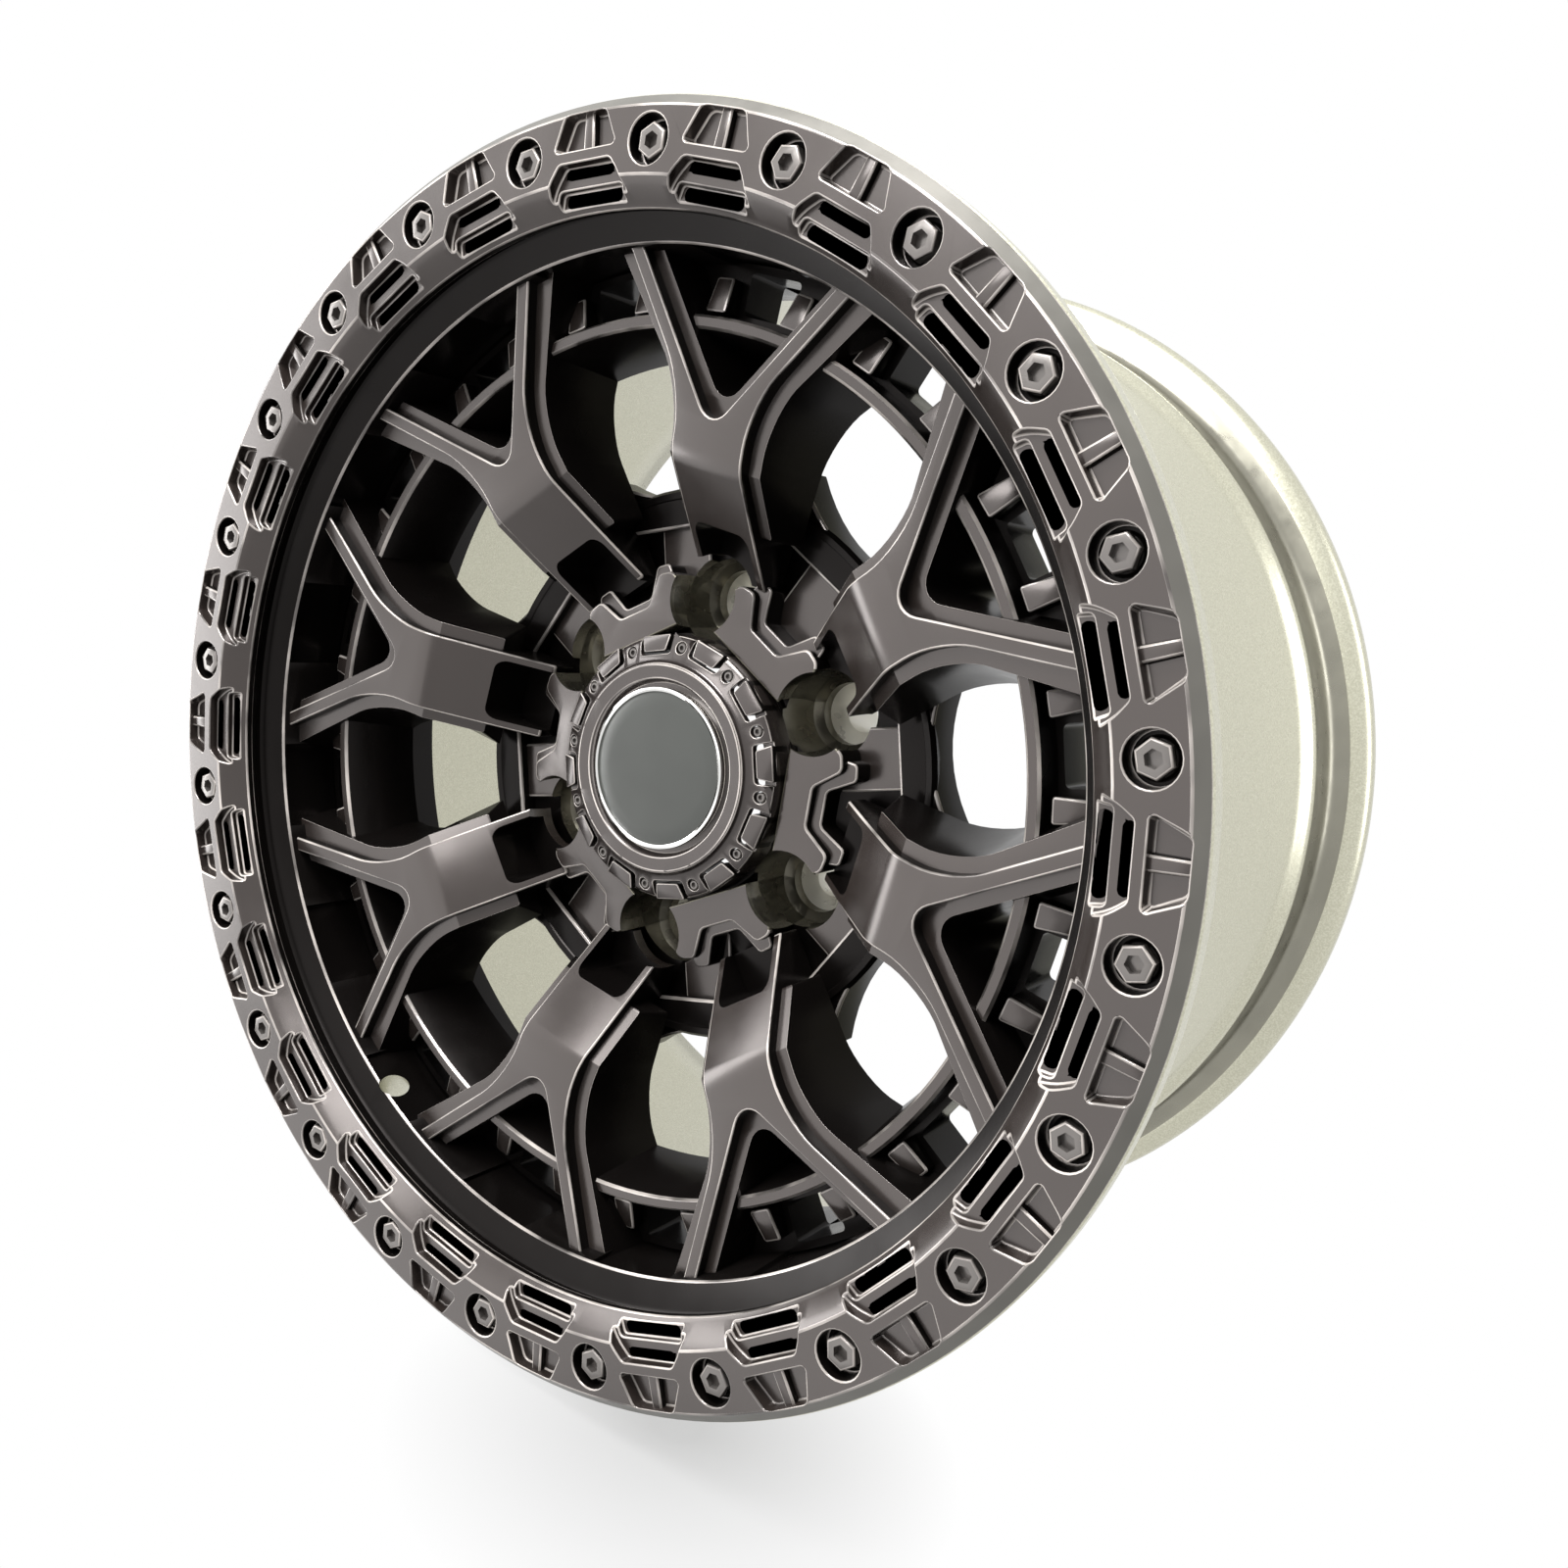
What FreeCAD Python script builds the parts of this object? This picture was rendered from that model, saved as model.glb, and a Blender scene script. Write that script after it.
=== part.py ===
"""Off-road alloy wheel without a tyre: casting, bolted front ring and centre cap.

The axle runs along Y with the styled face towards -Y, and the origin lies on the axle half way
between the two flanges. Depths in the sheet are measured backwards from the front face.
"""
import os

import FreeCAD
import Part
import Sketcher

from FreeCAD import Placement, Rotation, Vector

SIZES = {
    # rim: a 17 x 8.5 J contour whose front flange is thick enough to take the ring and its bolts
    "rim_width": 215.9,
    "front_flange": 25.0,
    "back_flange": 13.7,
    "flange_radius": 235.7,
    "flange_edge_depth": 12.1,
    "flange_slope": 6.0,
    "flange_round": 1.7,
    "back_flange_inset": 1.4,
    "back_lip_inset": 8.7,
    "flange_height": 17.4,
    "bead_seat_width": 21.0,
    "bead_seat_fall": 1.6,
    "bead_root": 3.0,
    "hump_height": 1.2,
    "hump_width": 4.0,
    "drop_centre_inset": 35.7,
    "drop_front_depth": 62.0,
    "drop_back_depth": 90.0,
    "barrel_rise_inset": 23.2,
    "barrel_rise_depth": 206.0,
    "well_inset": 43.2,
    "well_back_depth": 96.0,
    "barrel_wall": 7.0,
    # seat of the front ring
    "register_inset": 3.0,
    "register_clearance": 0.2,
    "lip_front_depth": 4.3,
    "ring_thickness": 12.0,
    "channel_inset": 32.2,
    "channel_depth": 18.0,
    "band_inset": 33.5,
    "band_depth": 19.5,
    "well_edge_depth": 22.5,
    # spokes
    "spoke_count": 8,
    "spoke_phase": 7.5,
    "spoke_root_inset": 39.7,
    "tip_depth": 24.5,
    "crease_radius": 121.0,
    "crease_depth": 36.7,
    "foot_radius": 98.0,
    "foot_depth": 56.3,
    "foot_end_radius": 78.0,
    "foot_end_depth": 73.5,
    "tier_drop": 6.0,
    "tier_overlap": 3.0,
    "tier_ledge": 5.2,
    "trunk_half_width": 16.6,
    "fork_start": 144.4,
    "fork_slope": 0.775,
    "crotch_apex": 132.2,
    "crotch_round": 11.0,
    "window_round": 9.0,
    "shoulder_round": 26.0,
    "window_inner_radius": 108.0,
    "face_window_start": 66.0,
    "notch_half_width": 12.0,
    "notch_start": 97.3,
    "notch_end": 74.0,
    "notch_depth": 71.0,
    "spoke_back_depth": 70.0,
    "spoke_back_radius": 155.0,
    "hub_back_radius": 112.0,
    "hub_back_depth": 92.0,
    # ring rib and the openings outside it
    "rib_inner_radius": 167.0,
    "rib_outer_radius": 172.0,
    "rib_floor_depth": 44.0,
    "opening_inner_radius": 174.5,
    "opening_outer_radius": 190.0,
    "opening_half_width": 11.0,
    "opening_count": 16,
    # hub
    "wheel_offset": 0.0,
    "hub_front_depth": 72.0,
    "hub_radius": 84.0,
    "hub_bore_radius": 53.05,
    "hub_bore_depth": 99.0,
    "cap_bore_radius": 51.0,
    "cap_seat_radius": 54.6,
    "cap_seat_depth": 75.0,
    "mount_pad_radius": 85.0,
    "mount_pad_slope": 4.0,
    "relief_half_width": 12.5,
    "relief_inner_radius": 62.0,
    "relief_outer_radius": 82.0,
    "relief_depth": 98.0,
    "core_half_width": 12.0,
    "core_inner_radius": 114.0,
    "core_outer_radius": 150.0,
    "core_depth": 58.0,
    "hub_pad_depth": 66.5,
    "hub_pad_inner": 56.0,
    "hub_pad_wide": 18.0,
    "hub_pad_shoulder": 66.0,
    "hub_pad_narrow": 5.0,
    "hub_pad_outer": 83.0,
    "lug_count": 6,
    "lug_circle_radius": 69.85,
    "lug_mouth_radius": 15.5,
    "lug_belly_radius": 17.8,
    "lug_belly_depth": 82.0,
    "lug_throat_depth": 97.0,
    "lug_step_radius": 12.5,
    "lug_seat_depth": 103.0,
    "lug_hole_radius": 7.75,
    "lug_seat_length": 6.0,
    # valve hole through the barrel
    "valve_hole_radius": 5.65,
    "valve_angle": 210.0,
    "valve_depth": 28.6,
    "valve_tilt": 40.0,
    "valve_reach": 40.0,
    # front ring
    "ring_inner_inset": 35.6,
    "ring_face_inner_inset": 26.9,
    "ring_face_outer_inset": 4.7,
    "ring_reveal": 0.2,
    "ring_bevel_depth": 4.25,
    "ring_step_inset": 29.8,
    "ring_step_depth": 2.2,
    "ring_slope_inset": 34.2,
    "ring_slope_depth": 7.4,
    "ring_edge_depth": 8.8,
    "bolt_count": 24,
    "bolt_circle_inset": 15.7,
    "counterbore_radius": 8.4,
    "counterbore_depth": 7.0,
    "bolt_hole_radius": 3.3,
    "pocket_outer_inset": 4.3,
    "pocket_inner_inset": 16.8,
    "pocket_outer_half": 9.3,
    "pocket_inner_half": 14.4,
    "pocket_depth": 6.6,
    "pocket_rib_half": 1.5,
    "pocket_rib_depth": 3.2,
    "recess_outer_inset": 20.8,
    "recess_outer_half": 11.7,
    "recess_inner_half": 20.0,
    "recess_depth": 4.1,
    "tier_inset": 30.3,
    "tier_half": 17.0,
    "tier_depth": 8.4,
    "slot_half": 10.6,
    "slot_outer_inset": 21.4,
    "slot_inner_inset": 24.7,
    "slot_depth": 9.6,
    "low_slot_half": 12.5,
    "low_slot_outer_inset": 30.5,
    "low_slot_inner_inset": 33.3,
    "low_slot_depth": 10.8,
    # ring bolts
    "bolt_flange_radius": 6.6,
    "bolt_flange_height": 1.2,
    "bolt_hex_flats": 10.0,
    "bolt_head_height": 5.2,
    "bolt_socket_flats": 5.0,
    "bolt_socket_depth": 2.6,
    "bolt_shank_radius": 3.0,
    "bolt_length": 15.0,
    "thread_clearance": 0.1,
    "thread_run_out": 1.0,
    # centre cap
    "cap_radius": 53.6,
    "cap_shoulder_radius": 50.6,
    "cap_shoulder_depth": 60.2,
    "cap_crown_radius": 42.2,
    "cap_crown_depth": 56.9,
    "cap_dish_radius": 35.0,
    "cap_floor_depth": 60.5,
    "cap_wall": 2.4,
    "cap_skirt_radius": 50.7,
    "cap_skirt_depth": 96.0,
    "cap_pad_count": 12,
    "cap_pad_inner": 46.2,
    "cap_pad_outer": 52.4,
    "cap_pad_half": 5.6,
    "cap_pad_rise": 1.2,
    "cap_screw_circle": 48.7,
    "cap_screw_radius": 1.9,
    "cap_screw_height": 1.1,
    "bezel_radius": 33.6,
    "bezel_inner_radius": 31.2,
    "bezel_depth": 56.2,
    "badge_radius": 31.0,
    "badge_depth": 57.0,
    "wire_width": 2.0,
    "wire_depth": 91.0,
}

THROUGH = 600.0
FRONT = "(-(sizes.rim_width + sizes.front_flange + sizes.back_flange) / 2)"

doc = FreeCAD.newDocument("wheel")
sheet = doc.addObject("Spreadsheet::Sheet", "sizes")
for row, (alias, number) in enumerate(SIZES.items(), start=1):
    sheet.set(f"A{row}", alias)
    sheet.set(f"B{row}", str(number))
    sheet.setAlias(f"B{row}", alias)
doc.recompute()


def size(name):
    """The expression of one value of the sheet."""
    return f"sizes.{name}"


def inset(name):
    """The radius that lies inside the flange's edge by a distance given by its name in the sheet."""
    return f"(sizes.flange_radius - sizes.{name})"


def deep(name):
    """The place along Y of a depth given by its name in the sheet."""
    return f"({FRONT} + sizes.{name})"


def value(expression):
    """The number that an expression stands for now."""
    result = sheet.evalExpression(expression)
    return getattr(result, "Value", result)


def new_body(name, phase="0"):
    """A body, turned clockwise about the axle as seen from the front."""
    body = doc.addObject("PartDesign::Body", name)
    body.Placement = Placement(Vector(), Rotation(Vector(0, 1, 0), value(phase)))
    if phase != "0":
        body.setExpression("Placement.Rotation.Angle", phase)
    return body


def origin_feature(body, role):
    """One plane or axis of a body's own origin."""
    return next(item for item in body.Origin.OriginFeatures if item.Role == role)


def new_sketch(body, name, role, ahead="0"):
    """A sketch on one of the body's origin planes, moved along the plane's normal."""
    sketch = body.newObject("Sketcher::SketchObject", name)
    sketch.AttachmentSupport = (origin_feature(body, role), [""])
    sketch.MapMode = "FlatFace"
    if ahead != "0":
        sketch.setExpression("AttachmentOffset.Base.z", ahead)
    return sketch


def outline(sketch, corners):
    """A closed outline whose corners are pairs of expressions."""
    places = [Vector(value(across), value(up), 0) for across, up in corners]
    count = len(corners)
    first = sketch.GeometryCount
    for index, place in enumerate(places):
        sketch.addGeometry(Part.LineSegment(place, places[(index + 1) % count]))
    for index in range(count):
        following = first + (index + 1) % count
        sketch.addConstraint(Sketcher.Constraint("Coincident", first + index, 2, following, 1))
    for index, (across, up) in enumerate(corners):
        for kind, expression in (("DistanceX", across), ("DistanceY", up)):
            rule = Sketcher.Constraint(kind, -1, 1, first + index, 1, value(expression))
            number = sketch.addConstraint(rule)
            sketch.setExpression(f"Constraints[{number}]", expression)


def circle(sketch, across, up, radius):
    """A circle whose centre and radius are expressions."""
    centre = Vector(value(across), value(up), 0)
    index = sketch.addGeometry(Part.Circle(centre, Vector(0, 0, 1), value(radius)))
    rules = (
        (Sketcher.Constraint("DistanceX", -1, 1, index, 3, centre.x), across),
        (Sketcher.Constraint("DistanceY", -1, 1, index, 3, centre.y), up),
        (Sketcher.Constraint("Radius", index, value(radius)), radius),
    )
    for rule, expression in rules:
        number = sketch.addConstraint(rule)
        sketch.setExpression(f"Constraints[{number}]", expression)


def hexagon(sketch, up, flats):
    """A hexagon on the bolt's axis with two corners along the radius."""
    corner = f"({flats}) / sqrt(3)"
    half = f"({flats}) / 2"
    places = [
        ("0", f"{up} + {corner}"),
        (half, f"{up} + {corner} / 2"),
        (half, f"{up} - {corner} / 2"),
        ("0", f"{up} - {corner}"),
        (f"-{half}", f"{up} - {corner} / 2"),
        (f"-{half}", f"{up} + {corner} / 2"),
    ]
    outline(sketch, places)


def turned_ring(body, name, corners):
    """A solid of revolution about the axle from corners of radius and place along Y."""
    sketch = new_sketch(body, name + "_profile", "XY_Plane")
    outline(sketch, corners)
    feature = body.newObject("PartDesign::Revolution", name)
    feature.Profile = sketch
    feature.ReferenceAxis = (sketch, ["V_Axis"])
    feature.Angle = 360.0
    doc.recompute()
    return feature


def through_pad(body, name, corners):
    """A prism along the axle that passes through the whole wheel."""
    sketch = new_sketch(body, name + "_plan", "XZ_Plane")
    outline(sketch, corners)
    feature = body.newObject("PartDesign::Pad", name)
    feature.Profile = sketch
    feature.SideType = "Symmetric"
    feature.Length = THROUGH
    doc.recompute()
    return feature


def block(body, name, draw, front, back):
    """A pad from the place front to the place back along Y, drawn by a function."""
    sketch = new_sketch(body, name + "_plan", "XZ_Plane", f"-{front}")
    draw(sketch)
    feature = body.newObject("PartDesign::Pad", name)
    feature.Profile = sketch
    feature.setExpression("Length", f"{back} - {front}")
    feature.Reversed = True
    doc.recompute()
    return feature


def pocket(body, name, draw, front, back):
    """A pocket from the place front back to the place back along Y."""
    sketch = new_sketch(body, name + "_plan", "XZ_Plane", f"-{front}")
    draw(sketch)
    feature = body.newObject("PartDesign::Pocket", name)
    feature.Profile = sketch
    feature.setExpression("Length", f"{back} - {front}")
    doc.recompute()
    return feature


def round_axial(body, feature, name, radius, chosen):
    """Rounds those edges along the axle that the chosen function picks by place."""
    edges = []
    for number, edge in enumerate(feature.Shape.Edges, start=1):
        start, end = (vertex.Point for vertex in edge.Vertexes)
        along = abs((end - start).normalize().y) > 0.999
        if along and chosen(start):
            edges.append(f"Edge{number}")
    fillet = body.newObject("PartDesign::Fillet", name)
    fillet.Base = (feature, edges)
    fillet.setExpression("Radius", radius)
    doc.recompute()
    return fillet


def repeat(body, name, originals, count):
    """A polar pattern about the axle; without originals it repeats the whole body."""
    pattern = body.newObject("PartDesign::PolarPattern", name)
    pattern.Axis = (origin_feature(body, "Y_Axis"), [""])
    pattern.Angle = 360.0
    pattern.setExpression("Occurrences", count)
    if originals:
        pattern.Originals = originals
    else:
        pattern.TransformMode = "Whole shape"
    body.Tip = pattern
    doc.recompute()
    return pattern


def boolean(kind, name, base, tool):
    """A cut or common of two objects."""
    feature = doc.addObject(kind, name)
    feature.Base = base
    feature.Tool = tool
    doc.recompute()
    return feature


def cylinder(name, radius, front, back):
    """A cylinder on the axle between two places along Y."""
    feature = doc.addObject("Part::Cylinder", name)
    feature.setExpression("Radius", radius)
    feature.setExpression("Height", f"{back} - {front}")
    feature.Placement = Placement(Vector(), Rotation(Vector(1, 0, 0), -90))
    feature.setExpression("Placement.Base.y", front)
    doc.recompute()
    return feature


BACK = f"(-{FRONT})"
SEAT_TAPER = size("bead_seat_fall")
BACK_FLANGE = f"({BACK} - sizes.back_flange)"
FRONT_FLANGE = deep("front_flange")
MOUNT = f"({FRONT_FLANGE} + sizes.rim_width / 2 - sizes.wheel_offset)"


def make_barrel():
    """The rim: front lip, bead seats with humps, drop centre, back flange and well wall."""
    body = new_body("barrel")
    seat = inset("flange_height")
    fall = f"({seat} - {SEAT_TAPER})"
    hump = f"({fall} + sizes.hump_height)"
    root = size("bead_root")
    width = size("bead_seat_width")
    hump_width = size("hump_width")
    round_off = size("flange_round")
    slope = size("flange_slope")
    corners = [
        (inset("register_inset"), deep("lip_front_depth")),
        (size("flange_radius"), deep("lip_front_depth")),
        (size("flange_radius"), deep("flange_edge_depth")),
        (f"{size('flange_radius')} - {slope} / 2", f"{deep('flange_edge_depth')} + {slope}"),
        (f"{size('flange_radius')} - 2 * {slope}", FRONT_FLANGE),
        (f"{seat} + {root}", FRONT_FLANGE),
        (seat, f"{FRONT_FLANGE} + {root}"),
        (fall, f"{FRONT_FLANGE} + {width}"),
        (hump, f"{FRONT_FLANGE} + {width} + {hump_width}"),
        (fall, f"{FRONT_FLANGE} + {width} + 2 * {hump_width}"),
        (inset("drop_centre_inset"), deep("drop_front_depth")),
        (inset("drop_centre_inset"), deep("drop_back_depth")),
        (inset("barrel_rise_inset"), deep("barrel_rise_depth")),
        (fall, f"{BACK_FLANGE} - {width} - 2 * {hump_width}"),
        (hump, f"{BACK_FLANGE} - {width} - {hump_width}"),
        (fall, f"{BACK_FLANGE} - {width}"),
        (seat, f"{BACK_FLANGE} - {root}"),
        (f"{seat} + {root}", BACK_FLANGE),
        (f"{inset('back_flange_inset')} - {round_off}", BACK_FLANGE),
        (inset("back_flange_inset"), f"{BACK_FLANGE} + {round_off}"),
        (inset("back_flange_inset"), f"{BACK} - 2 * {round_off}"),
        (f"{inset('back_flange_inset')} - {round_off}", BACK),
        (inset("back_lip_inset"), BACK),
        (f"{inset('back_lip_inset')} - 2 * {round_off}", f"{BACK} - {round_off}"),
        (f"{seat} - {size('barrel_wall')}", f"{BACK_FLANGE} - {root}"),
        (f"{inset('barrel_rise_inset')} - {size('barrel_wall')}", deep("barrel_rise_depth")),
        (inset("well_inset"), deep("well_back_depth")),
        (inset("well_inset"), deep("well_edge_depth")),
        (inset("band_inset"), deep("band_depth")),
        (inset("channel_inset"), deep("channel_depth")),
        (inset("channel_inset"), deep("ring_thickness")),
        (inset("register_inset"), deep("ring_thickness")),
    ]
    turned_ring(body, "rim", corners)
    return body


def make_spoke_base():
    """The lower tier: hub, mounting pad and the disc that the ledges are cut from."""
    body = new_body("spoke_base")
    drop = size("tier_drop")
    root = inset("spoke_root_inset")
    slope = size("mount_pad_slope")
    corners = [
        (root, f"{deep('tip_depth')} + {drop}"),
        (size("crease_radius"), f"{deep('crease_depth')} + {drop}"),
        (size("foot_radius"), f"{deep('foot_depth')} + {drop}"),
        (size("hub_radius"), deep("hub_front_depth")),
        (size("cap_seat_radius"), deep("hub_front_depth")),
        (size("cap_seat_radius"), deep("cap_seat_depth")),
        (size("cap_bore_radius"), deep("cap_seat_depth")),
        (size("cap_bore_radius"), deep("hub_bore_depth")),
        (size("hub_bore_radius"), deep("hub_bore_depth")),
        (size("hub_bore_radius"), MOUNT),
        (size("mount_pad_radius"), MOUNT),
        (f"{size('mount_pad_radius')} + {slope}", f"{MOUNT} - 4 * {slope}"),
        (size("hub_back_radius"), deep("hub_back_depth")),
        (size("spoke_back_radius"), deep("spoke_back_depth")),
        (root, deep("spoke_back_depth")),
    ]
    turned_ring(body, "disc", corners)
    return body


def make_spoke_face():
    """The upper tier: the turned face that slopes to a crease and then down to the hub."""
    body = new_body("spoke_face")
    under = f"{size('tier_drop')} + {size('tier_overlap')}"
    front_side = [
        (inset("spoke_root_inset"), deep("tip_depth")),
        (size("crease_radius"), deep("crease_depth")),
        (size("foot_radius"), deep("foot_depth")),
        (size("foot_end_radius"), deep("foot_end_depth")),
    ]
    back_side = [(radius, f"{place} + {under}") for radius, place in reversed(front_side)]
    turned_ring(body, "face", front_side + back_side)
    return body


def window_corner(along, beside, side):
    """A point beside a spoke, seen in the frame of the window next to it."""
    half_pitch = f"(180 deg / {size('spoke_count')})"
    across = f"({side}) * (({along}) * sin({half_pitch}) - ({beside}) * cos({half_pitch}))"
    up = f"({along}) * cos({half_pitch}) + ({beside}) * sin({half_pitch})"
    return across, up


def window_cutter(name, ledge, start):
    """The eight windows between spokes, with the ledge left on each side of them."""
    half_pitch_turn = f"{size('spoke_phase')} + 180 / {size('spoke_count')}"
    body = new_body(name, half_pitch_turn)
    slope = size("fork_slope")
    trunk = f"({size('trunk_half_width')} + {ledge})"
    fork = f"({size('fork_start')} - {ledge} * (sqrt(1 + {slope} ^ 2) - 1) / {slope})"
    reach = inset("spoke_root_inset")
    arm = f"({trunk} + {slope} * ({reach} - {fork}))"
    left = [window_corner(s, w, "-1") for s, w in ((start, trunk), (fork, trunk), (reach, arm))]
    right = [window_corner(s, w, "1") for s, w in ((reach, arm), (fork, trunk), (start, trunk))]
    pad = through_pad(body, name + "_prism", left + right)
    shoulder_height = value(left[1][1])
    shoulder = round_axial(body, pad, name + "_shoulders", size("shoulder_round"),
                           lambda point: abs(point.z - shoulder_height) < 1.0)
    inner_height = value(left[0][1])
    round_axial(body, shoulder, name + "_corners", size("window_round"),
                lambda point: abs(point.z - inner_height) < 1.0)
    repeat(body, name + "_pattern", [], size("spoke_count"))
    return body


def crotch_cutter(name, ledge):
    """The eight openings inside the forks."""
    body = new_body(name, size("spoke_phase"))
    slope = size("fork_slope")
    apex = f"({size('crotch_apex')} + {ledge} * sqrt(1 + {slope} ^ 2) / {slope})"
    reach = inset("spoke_root_inset")
    half = f"{slope} * ({reach} - {apex})"
    pad = through_pad(body, name + "_prism", [("0", apex), (half, reach), (f"-({half})", reach)])
    round_axial(body, pad, name + "_round", size("crotch_round"), lambda point: abs(point.x) < 1.0)
    repeat(body, name + "_pattern", [], size("spoke_count"))
    return body


def rectangle(half, low, high):
    """A drawing function for a rectangle across the radius."""
    return lambda sketch: outline(sketch, [(f"-{half}", low), (half, low), (half, high), (f"-{half}", high)])


def trapezoid(low_half, low, high_half, high):
    """A drawing function for a trapezoid across the radius."""
    corners = [(f"-{low_half}", low), (low_half, low), (high_half, high), (f"-{high_half}", high)]
    return lambda sketch: outline(sketch, corners)


def make_opening_cutter():
    """The openings between the ring rib and the well wall."""
    body = new_body("opening_cutter", size("spoke_phase"))
    low = size("opening_inner_radius")
    high = size("opening_outer_radius")
    half = size("opening_half_width")
    through_pad(body, "opening_prism", [(f"-{half}", low), (half, low), (half, high), (f"-{half}", high)])
    repeat(body, "opening_pattern", [], size("opening_count"))
    return body


def make_notch_cutter():
    """The square notch in the foot of each spoke."""
    body = new_body("notch_cutter", size("spoke_phase"))
    draw = rectangle(size("notch_half_width"), size("notch_end"), size("notch_start"))
    block(body, "notch", draw, FRONT, deep("notch_depth"))
    repeat(body, "notch_pattern", [], size("spoke_count"))
    return body


def make_back_cutters():
    """The hollow behind each spoke and the relief pockets between the studs."""
    beyond = f"({MOUNT} + {size('barrel_wall')})"
    core = new_body("core_cutter", size("spoke_phase"))
    draw = rectangle(size("core_half_width"), size("core_inner_radius"), size("core_outer_radius"))
    block(core, "core", draw, deep("core_depth"), beyond)
    repeat(core, "core_pattern", [], size("spoke_count"))
    relief = new_body("relief_cutter", f"180 / {size('lug_count')}")
    draw = rectangle(size("relief_half_width"), size("relief_inner_radius"), size("relief_outer_radius"))
    block(relief, "relief", draw, deep("relief_depth"), beyond)
    repeat(relief, "relief_pattern", [], size("lug_count"))
    return core, relief


def make_hub_pads():
    """The raised pads between the lug wells."""
    body = new_body("hub_pads", f"180 / {size('lug_count')}")
    places = [
        (size("hub_pad_wide"), size("hub_pad_inner")),
        (size("hub_pad_narrow"), size("hub_pad_shoulder")),
        (size("hub_pad_narrow"), size("hub_pad_outer")),
    ]
    mirrored = [(f"-{half}", height) for half, height in reversed(places)]
    seat = f"({deep('hub_front_depth')} + {size('tier_overlap')})"
    block(body, "pad", lambda sketch: outline(sketch, places + mirrored), deep("hub_pad_depth"), seat)
    repeat(body, "pad_pattern", [], size("lug_count"))
    return body


def make_lug_cutter():
    """The six lug wells: a belly, a step, a conical seat and the stud hole."""
    body = new_body("lug_cutter")
    sketch = new_sketch(body, "lug_profile", "XY_Plane")
    centre = size("lug_circle_radius")
    beyond = f"({MOUNT} + {size('barrel_wall')})"
    seat_end = f"({deep('lug_seat_depth')} + {size('lug_seat_length')})"
    corners = [
        (centre, FRONT),
        (f"{centre} + {size('lug_mouth_radius')}", FRONT),
        (f"{centre} + {size('lug_mouth_radius')}", deep("hub_pad_depth")),
        (f"{centre} + {size('lug_belly_radius')}", deep("lug_belly_depth")),
        (f"{centre} + {size('lug_mouth_radius')}", deep("lug_throat_depth")),
        (f"{centre} + {size('lug_step_radius')}", deep("lug_throat_depth")),
        (f"{centre} + {size('lug_step_radius')}", deep("lug_seat_depth")),
        (f"{centre} + {size('lug_hole_radius')}", seat_end),
        (f"{centre} + {size('lug_hole_radius')}", beyond),
        (centre, beyond),
    ]
    outline(sketch, corners)
    axis = sketch.addGeometry(Part.LineSegment(Vector(value(centre), -1, 0), Vector(value(centre), 1, 0)), True)
    for end in (1, 2):
        number = sketch.addConstraint(Sketcher.Constraint("DistanceX", -1, 1, axis, end, value(centre)))
        sketch.setExpression(f"Constraints[{number}]", centre)
    feature = body.newObject("PartDesign::Revolution", "lug")
    feature.Profile = sketch
    feature.ReferenceAxis = (sketch, ["Axis0"])
    feature.Angle = 360.0
    doc.recompute()
    body.setExpression("Placement.Rotation.Angle", "-90")
    repeat(body, "lug_pattern", [], size("lug_count"))
    return body


def make_thread_cutter():
    """The blind holes of the ring bolts in the front flange."""
    body = new_body("thread_cutter")
    radius = f"{size('bolt_shank_radius')} + {size('thread_clearance')}"
    end = f"({deep('counterbore_depth')} + {size('bolt_length')} + {size('thread_run_out')})"
    block(body, "thread", lambda sketch: circle(sketch, "0", inset("bolt_circle_inset"), radius), FRONT, end)
    repeat(body, "thread_pattern", [], size("bolt_count"))
    return body


def make_valve_cutter():
    """The valve hole, leaning backwards through the well wall into the drop centre."""
    body = new_body("valve_cutter", size("valve_angle"))
    sketch = new_sketch(body, "valve_plan", "XY_Plane")
    circle(sketch, "0", "0", size("valve_hole_radius"))
    sketch.AttachmentOffset = Placement(Vector(), Rotation(Vector(1, 0, 0), -value(size("valve_tilt"))))
    sketch.setExpression("AttachmentOffset.Base.z", inset("well_inset"))
    sketch.setExpression("AttachmentOffset.Base.y", deep("valve_depth"))
    sketch.setExpression("AttachmentOffset.Rotation.Angle", f"-{size('valve_tilt')}")
    feature = body.newObject("PartDesign::Pad", "valve")
    feature.Profile = sketch
    feature.SideType = "Symmetric"
    feature.setExpression("Length", f"2 * {size('valve_reach')}")
    doc.recompute()
    return body


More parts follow.
